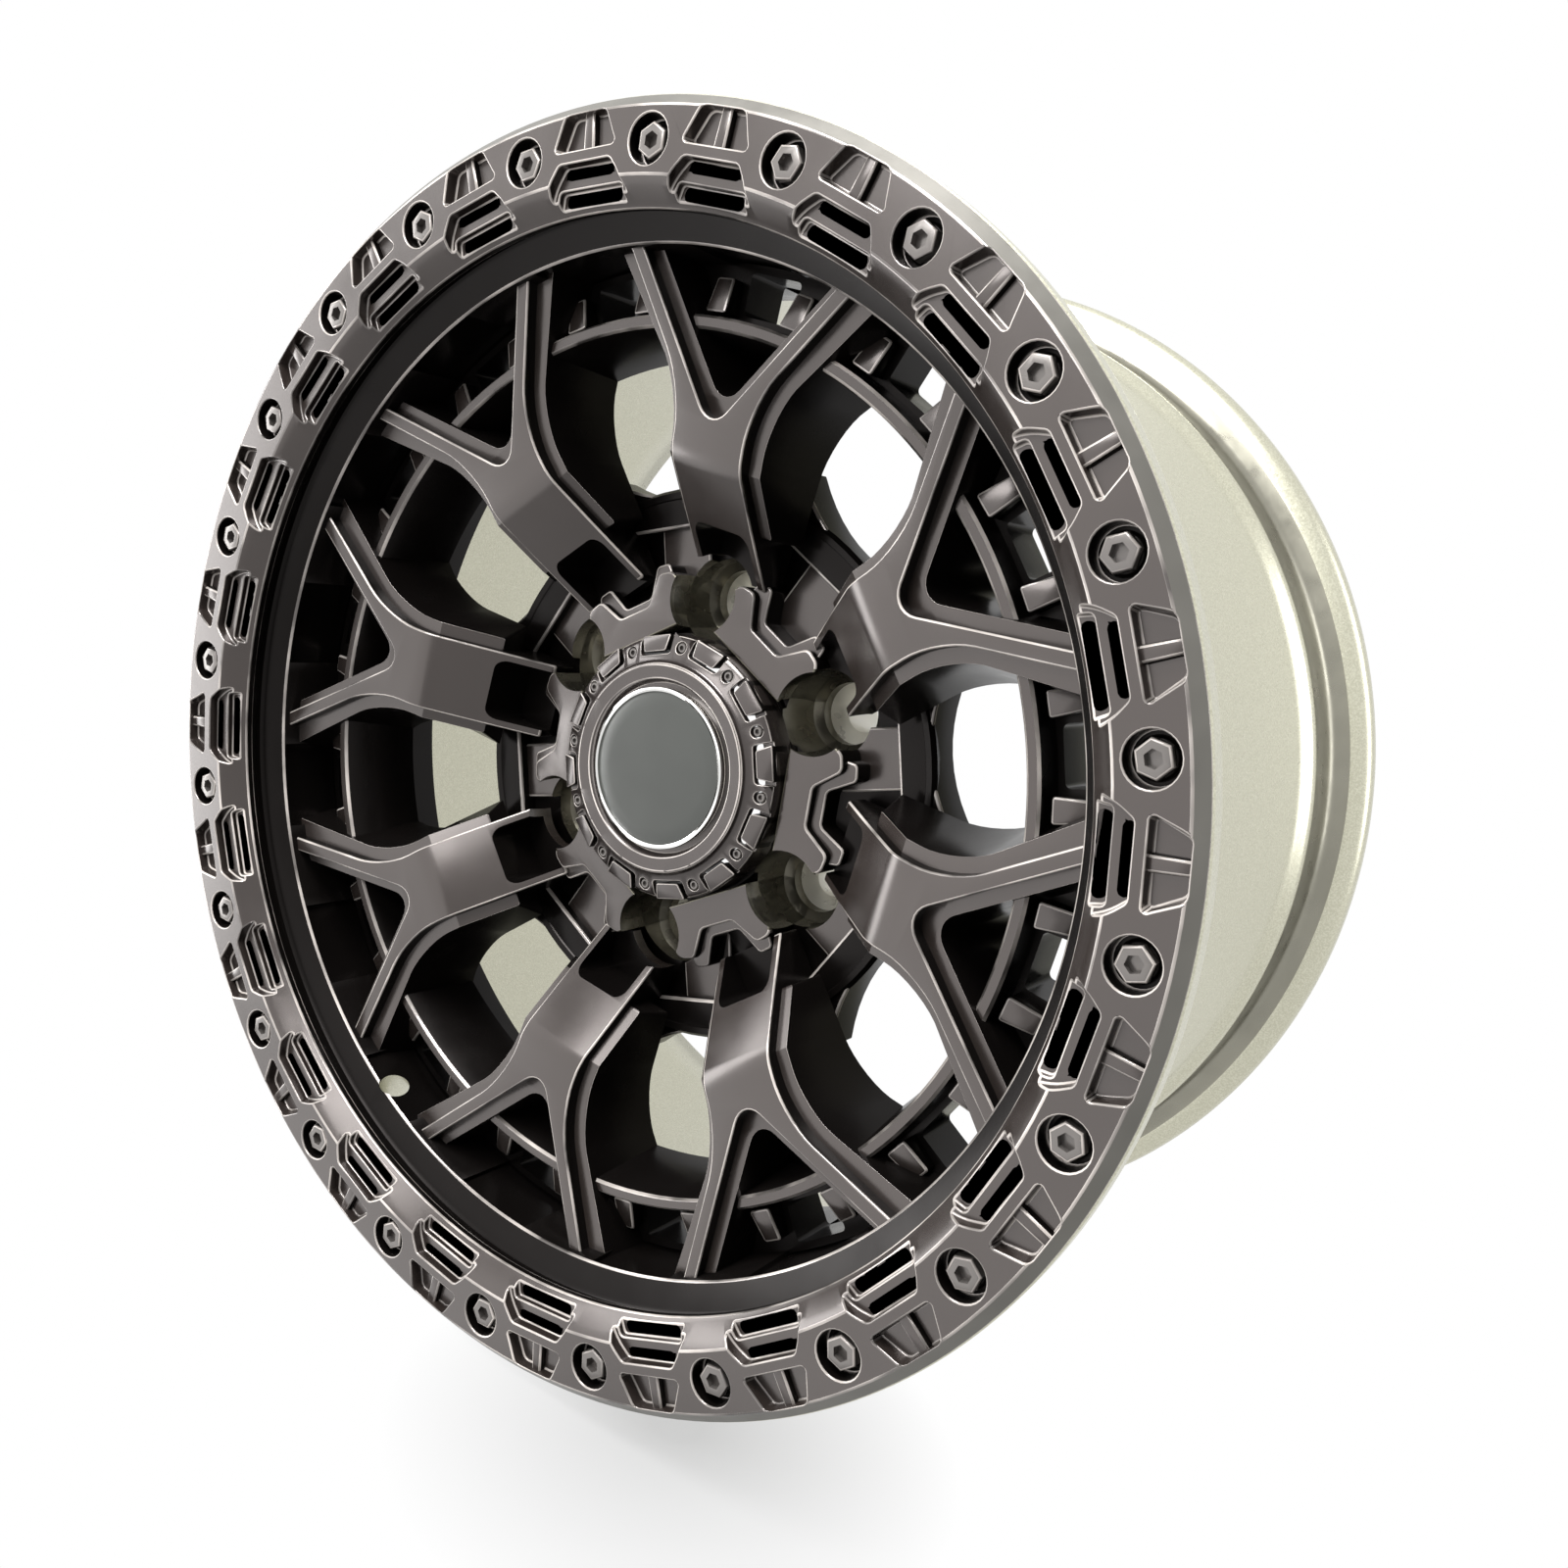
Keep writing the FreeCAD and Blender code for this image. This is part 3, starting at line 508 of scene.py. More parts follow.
@dataclass(frozen=True)
class BareAluminium:
    """Pale bare casting with fine sparkle, as the barrel has outside and inside."""

    name: str = "bare_aluminium"
    shade: Colour = (0.53, 0.52, 0.41)
    sparkle: Colour = (0.63, 0.62, 0.5)
    roughness: Pair = (0.26, 0.36)
    speckle: float = 1400.0
    flakes: float = 1100.0
    grain: float = 1800.0

    def make(self) -> Material:
        """Returns the material."""
        nodes = NodeTree(self.name)
        nodes.set(Metallic=0.85)
        speckle = nodes.noise(self.speckle, 2.0)
        nodes.feed(nodes.ramp(speckle, [(0.42, self.shade), (0.62, self.sparkle)]), "Base Color")
        nodes.feed(nodes.spread(nodes.cells(self.flakes), *self.roughness, 0.0, 1.0), "Roughness")
        nodes.bump(nodes.noise(self.grain, 1.0), 0.03, 0.08)
        return nodes.material


@dataclass(frozen=True)
class PlainFinish:
    """A finish of one colour with a fine grain."""

    name: str
    shade: Colour
    roughness: Pair
    metallic: float = 0.0
    grain: float = 700.0
    dimming: float = 0.88
    patches: float = 40.0
    sheen_patches: float = 120.0

    def make(self) -> Material:
        """Returns the material."""
        nodes = NodeTree(self.name)
        nodes.set(Metallic=self.metallic)
        dark = tuple(channel * self.dimming for channel in self.shade)
        cloud = nodes.noise(self.patches)
        nodes.feed(nodes.ramp(cloud, [(0.35, dark), (0.65, self.shade)]), "Base Color")
        nodes.feed(nodes.spread(nodes.noise(self.sheen_patches), *self.roughness), "Roughness")
        nodes.bump(nodes.noise(self.grain, 1.0), 0.03, 0.1)
        return nodes.material


PAINT = SatinPaint()
# A near-black with little gloss for walls, recesses, hollows and the hub: a painted shade, darker than the
# paint itself.
PAINTED_SHADE_BLACK = SatinPaint("satin_black_painted_shade", (0.003, 0.0025, 0.0023), (0.2, 0.28), 0.09)
# A lighter, glossier black for rounded edges, patchy along them: a painted highlight.
PAINTED_HIGHLIGHT_GREY = SatinPaint("satin_black_painted_highlight", (0.36, 0.33, 0.305), (0.14, 0.2), 1.0, sway=(0.12, 1.6),
                        patches=30.0)
RING_LIP = PlainFinish("bare_lip", (0.16, 0.154, 0.138), (0.32, 0.4), 0.65)
LUG_SEAT = PlainFinish("lug_seat", (0.9, 0.88, 0.8), (0.25, 0.35), 0.5)
BARE = BareAluminium()
WELL_PAINT = PlainFinish("turned_well", (0.14, 0.13, 0.10), (0.2, 0.3), 0.7)
BOLT_BLACK = PlainFinish("bolt_black", (0.15, 0.138, 0.13), (0.2, 0.28), 0.5)
SEAT_GREY = PlainFinish("bead_seat_grey", (0.30, 0.29, 0.24), (0.25, 0.4), 0.8, 1500.0)
CHROME = PlainFinish("bright_trim", (0.82, 0.82, 0.8), (0.05, 0.09), 1.0, 300.0)
BADGE = PlainFinish("badge_grey", (0.045, 0.048, 0.043), (0.3, 0.36), 0.15)
CAP_PAINT = SatinPaint("cap_black", (0.016, 0.013, 0.012), (0.2, 0.27))


def dress(piece: Piece, *finishes: Material) -> None:
    """Gives a piece its materials, in the order of its face indices."""
    if piece.data.materials:
        piece.data.materials.clear()
    for finish in finishes:
        piece.data.materials.append(finish)


def settle(piece: Piece, slot: str, finishes: Sequence[Material], *nodes: str) -> None:
    """Dresses a piece, lets it ride on the frame and stand for CAD nodes."""
    dress(piece, *finishes)
    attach(piece, "root")
    if nodes:
        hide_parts(*nodes)
    LOG.info("%s: %d faces", piece.name, len(piece.data.polygons))


def radius_of(point: Vector) -> float:
    """Distance from the axle in millimetres."""
    return math.hypot(point.x, point.z) / MM


def sector_of(point: Vector, count: int, phase: float) -> Pair:
    """Across and up of a point, in millimetres, as in the repeat it lies in.

    Args:
        point: any point.
        count: repeats round the wheel.
        phase: degrees of the first repeat.

    Returns:
        The point's place if its repeat stood at the top of the wheel.
    """
    pitch = 2.0 * math.pi / count
    angle = math.atan2(point.x, point.z) - math.radians(phase)
    rest = angle - round(angle / pitch) * pitch
    return radius_of(point) * math.sin(rest), radius_of(point) * math.cos(rest)


def depth_of(point: Vector) -> float:
    """Depth behind the front face in millimetres."""
    return point.y / MM - FRONT


@dataclass(frozen=True)
class Pocket:
    """A pocket cut into the ring from the front.

    Attributes:
        half: across, up and reach of the round of each corner of the right half, going outwards.
        depth: how deep it cuts.
        taper: how much narrower it is at its floor, in millimetres on each side.
    """

    half: tuple[Corner, ...]
    depth: float
    taper: float

    def make(self) -> Shape:
        """Returns the cutter at the top of the wheel, with its mouth just in front of the ring."""
        shape = twin_plate(self.half, 3)
        middle = sum(up for _, up, _ in self.half) / len(self.half)
        for vert in new_verts(bmesh.ops.extrude_face_region(shape, geom=shape.faces[:])["geom"]):
            vert.co.y += self.depth * MM
            vert.co.x -= math.copysign(min(self.taper * MM, abs(vert.co.x)), vert.co.x)
            vert.co.z -= math.copysign(self.taper * MM * 0.5, vert.co.z - middle * MM)
        for vert in shape.verts:
            if vert.co.y < (FRONT + 0.5) * MM:
                vert.co.y -= 1.0 * MM
        bmesh.ops.recalc_face_normals(shape, faces=shape.faces[:])
        return shape


@dataclass
class Ring:
    """The bolted front ring with counterbores, outer pockets and slot groups."""

    count: int = 24
    steps: int = 192
    bolt_circle: float = 220.0
    bore: float = 8.4
    bore_depth: float = 7.0
    edge: float = 0.55
    slot_floor: float = 8.6
    slot_reach: float = 216.0
    lip_start: float = 231.1
    lip_depths: Pair = (0.2, 4.28)
    profile: tuple[Pair, ...] = (
        (208.8, 0.0), (231.0, 0.0), (235.5, 4.25), (232.5, 4.3), (232.5, 12.0), (200.1, 12.0),
        (200.1, 8.8), (201.5, 7.4), (205.9, 2.2),
    )
    outer: Pocket = Pocket(((14.4, 218.9, 2.0), (9.3, 231.4, 2.0)), 4.8, 1.2)
    recess: Pocket = Pocket(((22.0, 190.0, 0.0), (16.2, 208.8, 3.0), (11.7, 214.9, 1.2)), 4.1, 0.5)
    tier: Pocket = Pocket(((17.0, 190.0, 0.0), (14.6, 207.4, 1.5)), 6.8, 0.4)
    upper_slot: Pocket = Pocket(((10.8, 210.9, 1.6), (10.4, 214.4, 1.6)), 9.6, 0.4)
    lower_slot: Pocket = Pocket(((12.8, 202.5, 1.4), (12.2, 206.4, 1.4)), 11.2, 0.3)
    rib: Slab = Slab(((2.3, 218.0, 0.0), (2.0, 232.0, 0.0)), 2.2, 5.4, taper=0.35, edge=0.6, edge_steps=2)

    def build(self) -> Piece:
        """Returns the ring piece."""
        piece = make_object("front_ring", lathe(self.profile, self.steps))
        bore = rod(self.bore, 2 * self.bore_depth, 28, ALONG_AXLE)
        shift(bore, place(0.0, 0.0, self.bolt_circle))
        carve(piece, pattern(bore, self.count, 0.0))
        for pocket in (self.outer, self.recess, self.tier, self.upper_slot, self.lower_slot):
            carve(piece, pattern(pocket.make(), self.count, 180.0 / self.count))
        tidy_mesh(piece)
        self.mark_faces(piece)
        soften(piece, self.edge)
        return piece

    def mark_faces(self, piece: Piece) -> None:
        """Gives the outer lip its own finish's index, and the slots and the counterbores a near-black as
        painted shade.
        """
        low, high = self.lip_depths
        for face in piece.data.polygons:
            across, up = sector_of(face.center, self.count, 0.0)
            depth = depth_of(face.center)
            in_bore = math.hypot(across, up - self.bolt_circle) < self.bore + 0.1 and depth > 0.3
            in_slot = depth > self.slot_floor and radius_of(face.center) < self.slot_reach
            # Counterbores and slot floors take a near-black: a painted shade.
            if in_bore or in_slot:
                face.material_index = Finish.PAINTED_SHADE
            elif radius_of(face.center) > self.lip_start and low < depth < high:
                face.material_index = Finish.OWN

    def ribs(self) -> Piece:
        """Returns the radial rib in each outer pocket."""
        piece = make_object("pocket_ribs", pattern(self.rib.make(), self.count, 180.0 / self.count))
        shade_by_angle(piece, 50.0)
        return piece


@dataclass
class RingBolts:
    """Flange bolts with a hexagon head and a socket."""

    count: int = 24
    circle: float = 220.0
    seat: float = 7.0
    flats: float = 10.6
    socket: float = 4.9
    top: float = 1.6
    flange: float = 1.3
    chamfer: float = 0.7
    socket_inset: float = 0.82
    socket_depth: float = 3.0
    turn_step: float = 17.0
    collar: tuple[Pair, ...] = ((0.0, 5.4), (5.4, 5.4), (6.2, 5.7), (6.7, 6.3), (6.7, 7.0), (0.0, 7.0))

    def one(self) -> Shape:
        """Returns one bolt on the axle, to be moved to its place."""
        height = self.seat - self.flange - self.top
        head = rod(self.flats / math.sqrt(3), height, 6, ALONG_AXLE)
        shift(head, place(0.0, self.top + height / 2, 0.0))
        front = min(head.faces, key=lambda face: face.calc_center_median().y)
        # The chamfer takes a lighter black: a painted highlight.
        round_off(head, front.edges[:], self.chamfer, 3, Finish.EDGE)
        front = min(head.faces, key=lambda face: face.calc_center_median().y)
        inset = (self.flats - self.socket) / 2 * MM * self.socket_inset
        bmesh.ops.inset_region(head, faces=[front], thickness=inset)
        centres = {face: face.calc_center_median() for face in head.faces}
        front = min(centres, key=lambda face: (centres[face].y, centres[face].length))
        sunk = new_verts(bmesh.ops.extrude_face_region(head, geom=[front])["geom"])
        bmesh.ops.delete(head, geom=[front], context="FACES")
        bmesh.ops.translate(head, verts=sunk, vec=(0, self.socket_depth * MM, 0))
        collar = lathe(self.collar, 24)
        # The flange under the head takes a near-black: a painted shade.
        for face in collar.faces:
            face.material_index = Finish.PAINTED_SHADE
        return merge([head, collar])

    def build(self) -> Piece:
        """Returns all the bolts as one piece."""
        bolts = []
        for index in range(self.count):
            bolt = self.one()
            turn(bolt, self.turn_step * index % 60.0)
            shift(bolt, (0, 0, self.circle * MM))
            turn(bolt, 360.0 / self.count * index)
            bolts.append(bolt)
        piece = make_object("ring_bolt_heads", merge(bolts))
        shade_by_angle(piece, 40.0)
        return piece


@dataclass
class Barrel:
    """The rim: bare outside and inside, painted on the well's side of the front, where its black is darkened
    further as painted shade.
    """

    panels: int = 16
    panel_half: float = 5.45
    panel_phase: float = 7.5
    panel_depth: float = 1.8
    panel_end: float = 90.0
    wall: float = 192.5
    paint_end: float = 112.0
    paint_reach: float = 196.0
    shelf_end: float = 23.6
    shelf_reach: float = 203.6
    shelf_highlight_depth: float = 22.9
    seat_depths: Pair = (219.0, 241.0)
    seat_start: float = 214.0
    valve: float = 5.65
    valve_length: float = 90.0
    valve_lean: float = -40.0
    valve_depth: float = 28.6
    valve_angle: float = 210.0
    steps: int = 256
    profile: tuple[Pair, ...] = (
        (232.7, 4.4), (235.0, 4.4), (235.7, 5.1), (235.7, 11.0), (235.2, 14.0), (233.4, 18.0),
        (229.5, 22.3), (224.5, 25.0), (221.3, 25.6), (219.0, 27.0), (218.3, 29.0), (216.7, 46.0),
        (217.4, 48.0), (217.9, 50.0), (217.4, 52.0), (216.4, 54.0), (213.5, 56.5), (203.5, 66.0),
        (200.6, 69.5), (200.0, 73.0), (200.0, 90.0), (203.0, 112.0), (212.5, 206.0), (214.5, 209.5),
        (216.7, 211.5), (217.7, 213.5), (217.9, 215.5), (217.3, 217.8), (216.7, 219.6), (218.0, 236.0),
        (218.9, 238.6), (221.3, 240.5), (226.0, 241.2), (230.5, 242.2), (233.2, 244.2), (234.3, 247.0),
        (234.3, 251.0), (233.6, 253.4), (231.8, 254.6), (228.6, 254.4), (225.6, 252.9), (223.0, 250.0),
        (219.0, 244.5), (211.6, 237.0), (205.5, 206.0), (194.0, 112.0), (192.5, 96.0), (192.5, 23.4),
        (193.2, 22.4), (202.2, 19.5), (203.5, 18.0), (203.5, 12.0), (232.7, 12.0),
    )

    def in_panel(self, centre: Vector) -> bool:
        """Whether a point of the well wall lies in one of the pressed panels."""
        if abs(radius_of(centre) - self.wall) >= 0.3 or depth_of(centre) >= self.panel_end:
            return False
        pitch = 360.0 / self.panels
        angle = math.degrees(math.atan2(centre.x, centre.z)) - self.panel_phase
        return abs((angle + pitch / 2) % pitch - pitch / 2) < self.panel_half

    def finish_at(self, centre: Vector) -> BarrelFinish:
        """The finish of the barrel at a point; the painted front inside takes a near-black as painted shade,
        with a lighter line along the shelf's edge as a painted highlight.
        """
        radius = radius_of(centre)
        depth = depth_of(centre)
        low, high = self.seat_depths
        inside = radius < self.paint_reach and depth < self.paint_end
        if inside or (radius < self.shelf_reach and depth < self.shelf_end):
            # The line along the shelf's edge is a painted highlight; the rest of the painted front inside is
            # a painted shade.
            return BarrelFinish.EDGE if abs(depth - self.shelf_highlight_depth) < 0.4 else BarrelFinish.PAINT
        return BarrelFinish.SEAT if low < depth < high and radius > self.seat_start else BarrelFinish.BARE

    def build(self) -> Piece:
        """Returns the barrel with its panels pressed into the well wall."""
        shape = lathe(self.profile, self.steps)
        pressed = [face for face in shape.faces if self.in_panel(face.calc_center_median())]
        for face in shape.faces:
            face.material_index = self.finish_at(face.calc_center_median())
        grown = bmesh.ops.extrude_face_region(shape, geom=pressed)["geom"]
        bmesh.ops.delete(shape, geom=pressed, context="FACES")
        for vert in new_verts(grown):
            scale = 1.0 + self.panel_depth / radius_of(vert.co)
            vert.co.x *= scale
            vert.co.z *= scale
        bmesh.ops.recalc_face_normals(shape, faces=shape.faces[:])
        piece = make_object("barrel", shape)
        carve(piece, self.valve_hole())
        shade_by_angle(piece, 38.0)
        return piece

    def valve_hole(self) -> Shape:
        """Returns the space of the valve hole, which leans back through the well wall."""
        shape = rod(self.valve, self.valve_length, 32, self.valve_lean)
        shift(shape, place(0.0, self.valve_depth, self.wall))
        turn(shape, self.valve_angle)
        return shape


@dataclass
class Spokes:
    """Eight forked spokes in two tiers."""

    count: int = 8
    phase: float = 7.5
    trunk: float = 16.6
    ledge: float = 5.2
    fork: float = 144.4
    slope: float = 0.775
    crotch: float = 132.2
    tip: float = 189.5
    end: float = 190.0
    end_depth: float = 25.4
    crease: float = 121.0
    crease_depth: float = 36.7
    foot: float = 98.0
    foot_depth: float = 56.3
    toe: float = 78.0
    toe_depth: float = 74.0
    upper_start: float = 79.0
    upper_back: float = 84.0
    lower_start: float = 100.0
    lower_end: float = 194.0
    drop: float = 6.0
    edge: float = 2.0
    crease_round: float = 4.5
    ledge_edge: float = 1.1
    trunk_round: float = 15.0
    crotch_round: float = 10.0
    tip_round: float = 2.2
    draft: float = 6.0
    back: float = 72.0
    limit: float = 195.0
    notch: Slab = Slab(((13.4, 66.0, 0.0), (13.4, 98.3, 4.5)), 20.0, 79.0)

    def top(self, height: float) -> float:
        """Depth of the upper tier's top for a height along the spoke."""
        if height > self.crease:
            rise = (self.crease_depth - self.end_depth) / (self.end - self.crease)
            return self.crease_depth - (height - self.crease) * rise
        if height > self.foot:
            fall = (self.foot_depth - self.crease_depth) / (self.crease - self.foot)
            return self.crease_depth + (self.crease - height) * fall
        fall = (self.toe_depth - self.foot_depth) / (self.foot - self.toe)
        return self.foot_depth + (self.foot - height) * fall

    def outline(self, ledge: float, foot_end: float, reach: float) -> tuple[list[Pair], list[float]]:
        """The plan of a forked spoke, grown on all sides by a ledge.

        Args:
            ledge: how far the sides stand out from the upper tier's.
            foot_end: height at which the foot ends.
            reach: height at which the arms end.

        Returns:
            Corners and the reach of their rounds.
        """
        side = math.sqrt(1.0 + self.slope ** 2)
        trunk = self.trunk + ledge
        fork = self.fork - ledge * (side - 1.0) / self.slope
        crotch = self.crotch + ledge * side / self.slope
        outer = trunk + self.slope * (reach - fork)
        inner = self.slope * (reach - crotch)
        tip = min(self.tip_round, (outer - inner) / 2.2)
        right = [(trunk, foot_end), (trunk, fork), (outer, reach), (inner, reach)]
        left = [(-across, up) for across, up in reversed(right)]
        corners = right + [(0.0, crotch)] + left
        side_rounds = [1.0, self.trunk_round, tip, tip]
        return corners, side_rounds + [self.crotch_round] + side_rounds[::-1]

    def upper(self) -> Shape:
        """One spoke's upper tier at the top of the wheel."""
        shape = plate(*self.outline(0.0, self.upper_start, self.tip), 7)
        for height in (self.crease, self.foot):
            split_across(shape, height)
        raise_plate(shape, self.top, self.upper_back, 0.0, self.edge, 4, self.crease_round)
        return shape

    def lower(self) -> Shape:
        """One spoke's lower tier, whose sides draw out towards the back."""
        shape, back = (plate(*self.outline(ledge, self.lower_start, self.lower_end), 7)
                       for ledge in (self.ledge, self.ledge + self.draft))
        for height in (self.crease, self.lower_start + 1.0):
            split_across(shape, height)
            split_across(back, height)
        twins = [vert.co.copy() for vert in back.verts]
        back.free()
        base = shape.verts[:]
        raise_plate(shape, lambda height: self.top(height) + self.drop, self.back)
        for vert, twin in zip(base, twins):
            vert.co.x = twin.x
            vert.co.z = twin.z
        rim = [edge for edge in shape.edges if edge.is_manifold and edge.calc_face_angle(0.0) > 0.9
               and all(depth_of(vert.co) < self.back - 5.0 for vert in edge.verts)]
        # The lower tier's rim takes a lighter black, a painted highlight.
        round_off(shape, rim, self.ledge_edge, 3, Finish.EDGE)
        shape.normal_update()
        # Its walls take a near-black, a painted shade.
        paint_shade_on_walls(shape)
        return shape

    def build(self, lugs: Shape) -> list[Piece]:
        """Returns the upper and the lower tiers of all spokes.

        Args:
            lugs: the shape of the lug wells, which cut into the feet; it is used up.
        """
        faces = make_object("spoke_faces", pattern(self.upper(), self.count, self.phase))
        carve(faces, pattern(self.notch.make(), self.count, self.phase))
        half, end, _ = self.notch.half[-1]
        for face in faces.data.polygons:
            across, up = sector_of(face.center, self.count, self.phase)
            in_notch = abs(across) < half + 0.1 and up < end + 0.1
            # The notch's faces behind the top take a near-black: a painted shade.
            if in_notch and depth_of(face.center) > self.top(up) + 0.8:
                face.material_index = Finish.PAINTED_SHADE
        carve(faces, lugs)
        ledges = make_object("spoke_ledges", pattern(self.lower(), self.count, self.phase))
        for piece in (faces, ledges):
            for vert in piece.data.vertices:
                scale = min(1.0, self.limit / radius_of(vert.co))
                vert.co.x *= scale
                vert.co.z *= scale
            shade_by_angle(piece, 30.0)
        return [faces, ledges]


@dataclass
class RibFloor:
    """The ring rib behind the arms, the floor outside it, its openings and the teeth beside them."""

    sectors: int = 16
    phase: float = 7.5
    steps: int = 192
    middle: float = 169.5
    crest: float = 38.0
    tooth_angle: float = 5.6
    profile: tuple[Pair, ...] = (
        (167.0, 38.5), (168.0, 37.4), (171.0, 37.4), (172.0, 38.5), (172.6, 51.0), (193.5, 51.0),
        (193.5, 72.0), (162.0, 72.0),
    )
    opening: Slab = Slab(((10.5, 174.8, 2.0), (11.5, 190.5, 2.0)), 30.0, 90.0)
    tooth: Slab = Slab(((4.6, 174.0, 1.0), (3.8, 187.0, 1.0)), 42.0, 53.0, start=174.0, fall=0.25, edge=0.8,
                       edge_steps=2, corner_steps=2)

    def build(self) -> Piece:
        """Returns the rib and floor with their openings; the rib's crest edges take a lighter black as a
        painted highlight, and all behind the crest a near-black as painted shade.
        """
        piece = make_object("rib_and_floor", lathe(self.profile, self.steps))
        carve(piece, pattern(self.opening.make(), self.sectors, self.phase))
        for face in piece.data.polygons:
            depth = depth_of(face.center)
            off_middle = abs(radius_of(face.center) - self.middle)
            # The crest's edges take a painted highlight; all behind the crest takes a painted shade.
            if depth < self.crest + 1.0 and abs(off_middle - 2.0) < 0.6:
                face.material_index = Finish.EDGE
            else:
                face.material_index = Finish.MAIN if depth < self.crest else Finish.PAINTED_SHADE
        shade_by_angle(piece, 35.0)
        return piece

    def teeth(self) -> Piece:
        """Returns the raised teeth on both sides of each opening."""
        sides = [pattern(self.tooth.make(), self.sectors, self.phase + side * self.tooth_angle)
                 for side in (-1.0, 1.0)]
        piece = make_object("floor_teeth", merge(sides))
        shade_by_angle(piece, 40.0)
        return piece


HORNED_PLAN: tuple[Corner, ...] = (
    (20.5, 54.0, 0.0), (30.0, 62.0, 0.0), (23.5, 76.0, 2.0), (16.5, 77.5, 2.0), (8.0, 66.5, 1.5),
)


@dataclass
class Hub:
    """The hub with its lug wells, the horned pads between them and the low arms."""

    count: int = 6
    circle: float = 69.85
    arms: int = 8
    arm_phase: float = 30.0
    steps: int = 96
    web_half: float = 36.0
    web_start: float = 98.0
    web_end: float = 112.0
    web_rise: float = 11.0
    web_top: float = 79.5
    web_back: float = 97.0
    web_edge: float = 1.2
    web_bends: int = 6
    well_reach: float = 18.0
    seat_depth: float = 102.0
    face_depth: float = 132.5
    profile: tuple[Pair, ...] = (
        (54.6, 78.0), (66.0, 82.0), (86.0, 90.0), (103.0, 87.0), (110.0, 79.0), (112.5, 78.5), (114.0, 80.5),
        (107.0, 101.0), (96.0, 116.0), (85.0, 132.9),
        (53.05, 132.9), (53.05, 99.0), (51.0, 99.0), (51.0, 75.0), (54.6, 75.0),
    )
    well: tuple[Pair, ...] = (
        (0.0, 20.0), (15.8, 20.0), (15.8, 68.0), (17.2, 73.0), (17.9, 80.0), (17.4, 88.0), (15.8, 95.0),
        (13.4, 97.0), (12.5, 98.0), (12.5, 103.0), (7.75, 109.0), (7.75, 140.0), (0.0, 140.0),
    )
    pad: Slab = Slab(HORNED_PLAN, 67.5, 98.0, start=54.0, fall=0.1, edge=0.8, corner_steps=3)
    step: Slab = Slab(((22.0, 60.0, 0.0), (20.0, 81.0, 1.5), (13.5, 82.0, 1.5), (7.0, 70.5, 1.5)),
                      71.5, 98.0, start=54.0, fall=0.1, edge=0.7, corner_steps=3)
    arm: Slab = Slab(((12.5, 66.0, 0.0), (12.0, 110.0, 2.0)), 84.0, 93.0, edge=1.0, corner_steps=3)

    def wells(self) -> Shape:
        """Returns the space of all the lug wells."""
        shape = lathe(self.well, 48)
        shift(shape, (0, 0, self.circle * MM))
        return pattern(shape, self.count, 0.0)

    def web(self) -> Shape:
        """Returns the hollow web between two spokes, which rounds the inner end of a window."""
        bends = [self.web_half * (1.0 - index / self.web_bends) for index in range(2 * self.web_bends + 1)]
        curve = [(across, self.web_end + self.web_rise * (across / self.web_half) ** 2) for across in bends]
        feet = [(-self.web_half, self.web_start), (self.web_half, self.web_start)]
        shape = plate(feet + curve, [0.0] * (len(curve) + 2))
        raise_plate(shape, lambda height: self.web_top, self.web_back, 0.0, self.web_edge)
        return shape

    def between(self) -> dict[str, Shape]:
        """Returns the horned pads, their step, the low arms and the webs, round the wheel, by name."""
        half = 180.0 / self.count
        return {
            "hub_pads": pattern(self.pad.make(), self.count, half),
            "hub_pad_steps": pattern(self.step.make(), self.count, half),
            "hub_arms": pattern(self.arm.make(), self.arms, self.arm_phase),
            "hub_webs": pattern(self.web(), self.arms, self.arm_phase),
        }

    def mark_wells(self, piece: Piece) -> None:
        """Gives the faces inside the lug wells the turned and the bare finish's index."""
        verts = piece.data.vertices
        for face in piece.data.polygons:
            places = [sector_of(verts[index].co, self.count, 0.0) for index in face.vertices]
            depth = depth_of(face.center)
            if max(math.hypot(across, up - self.circle) for across, up in places) < self.well_reach:
                face.material_index = Finish.OWN if depth < self.seat_depth else Finish.SEAT
            elif depth > self.face_depth:
                face.material_index = Finish.SEAT

    def build(self) -> list[Piece]:
        """Returns the hub and its pads with the lug wells cut into them."""
        pieces = [make_object("hub", lathe(self.profile, self.steps))]
        pieces += [make_object(name, shape) for name, shape in self.between().items()]
        for piece in pieces:
            carve(piece, self.wells())
        for piece in pieces:
            self.mark_wells(piece)
            shade_by_angle(piece, 35.0)
        return pieces


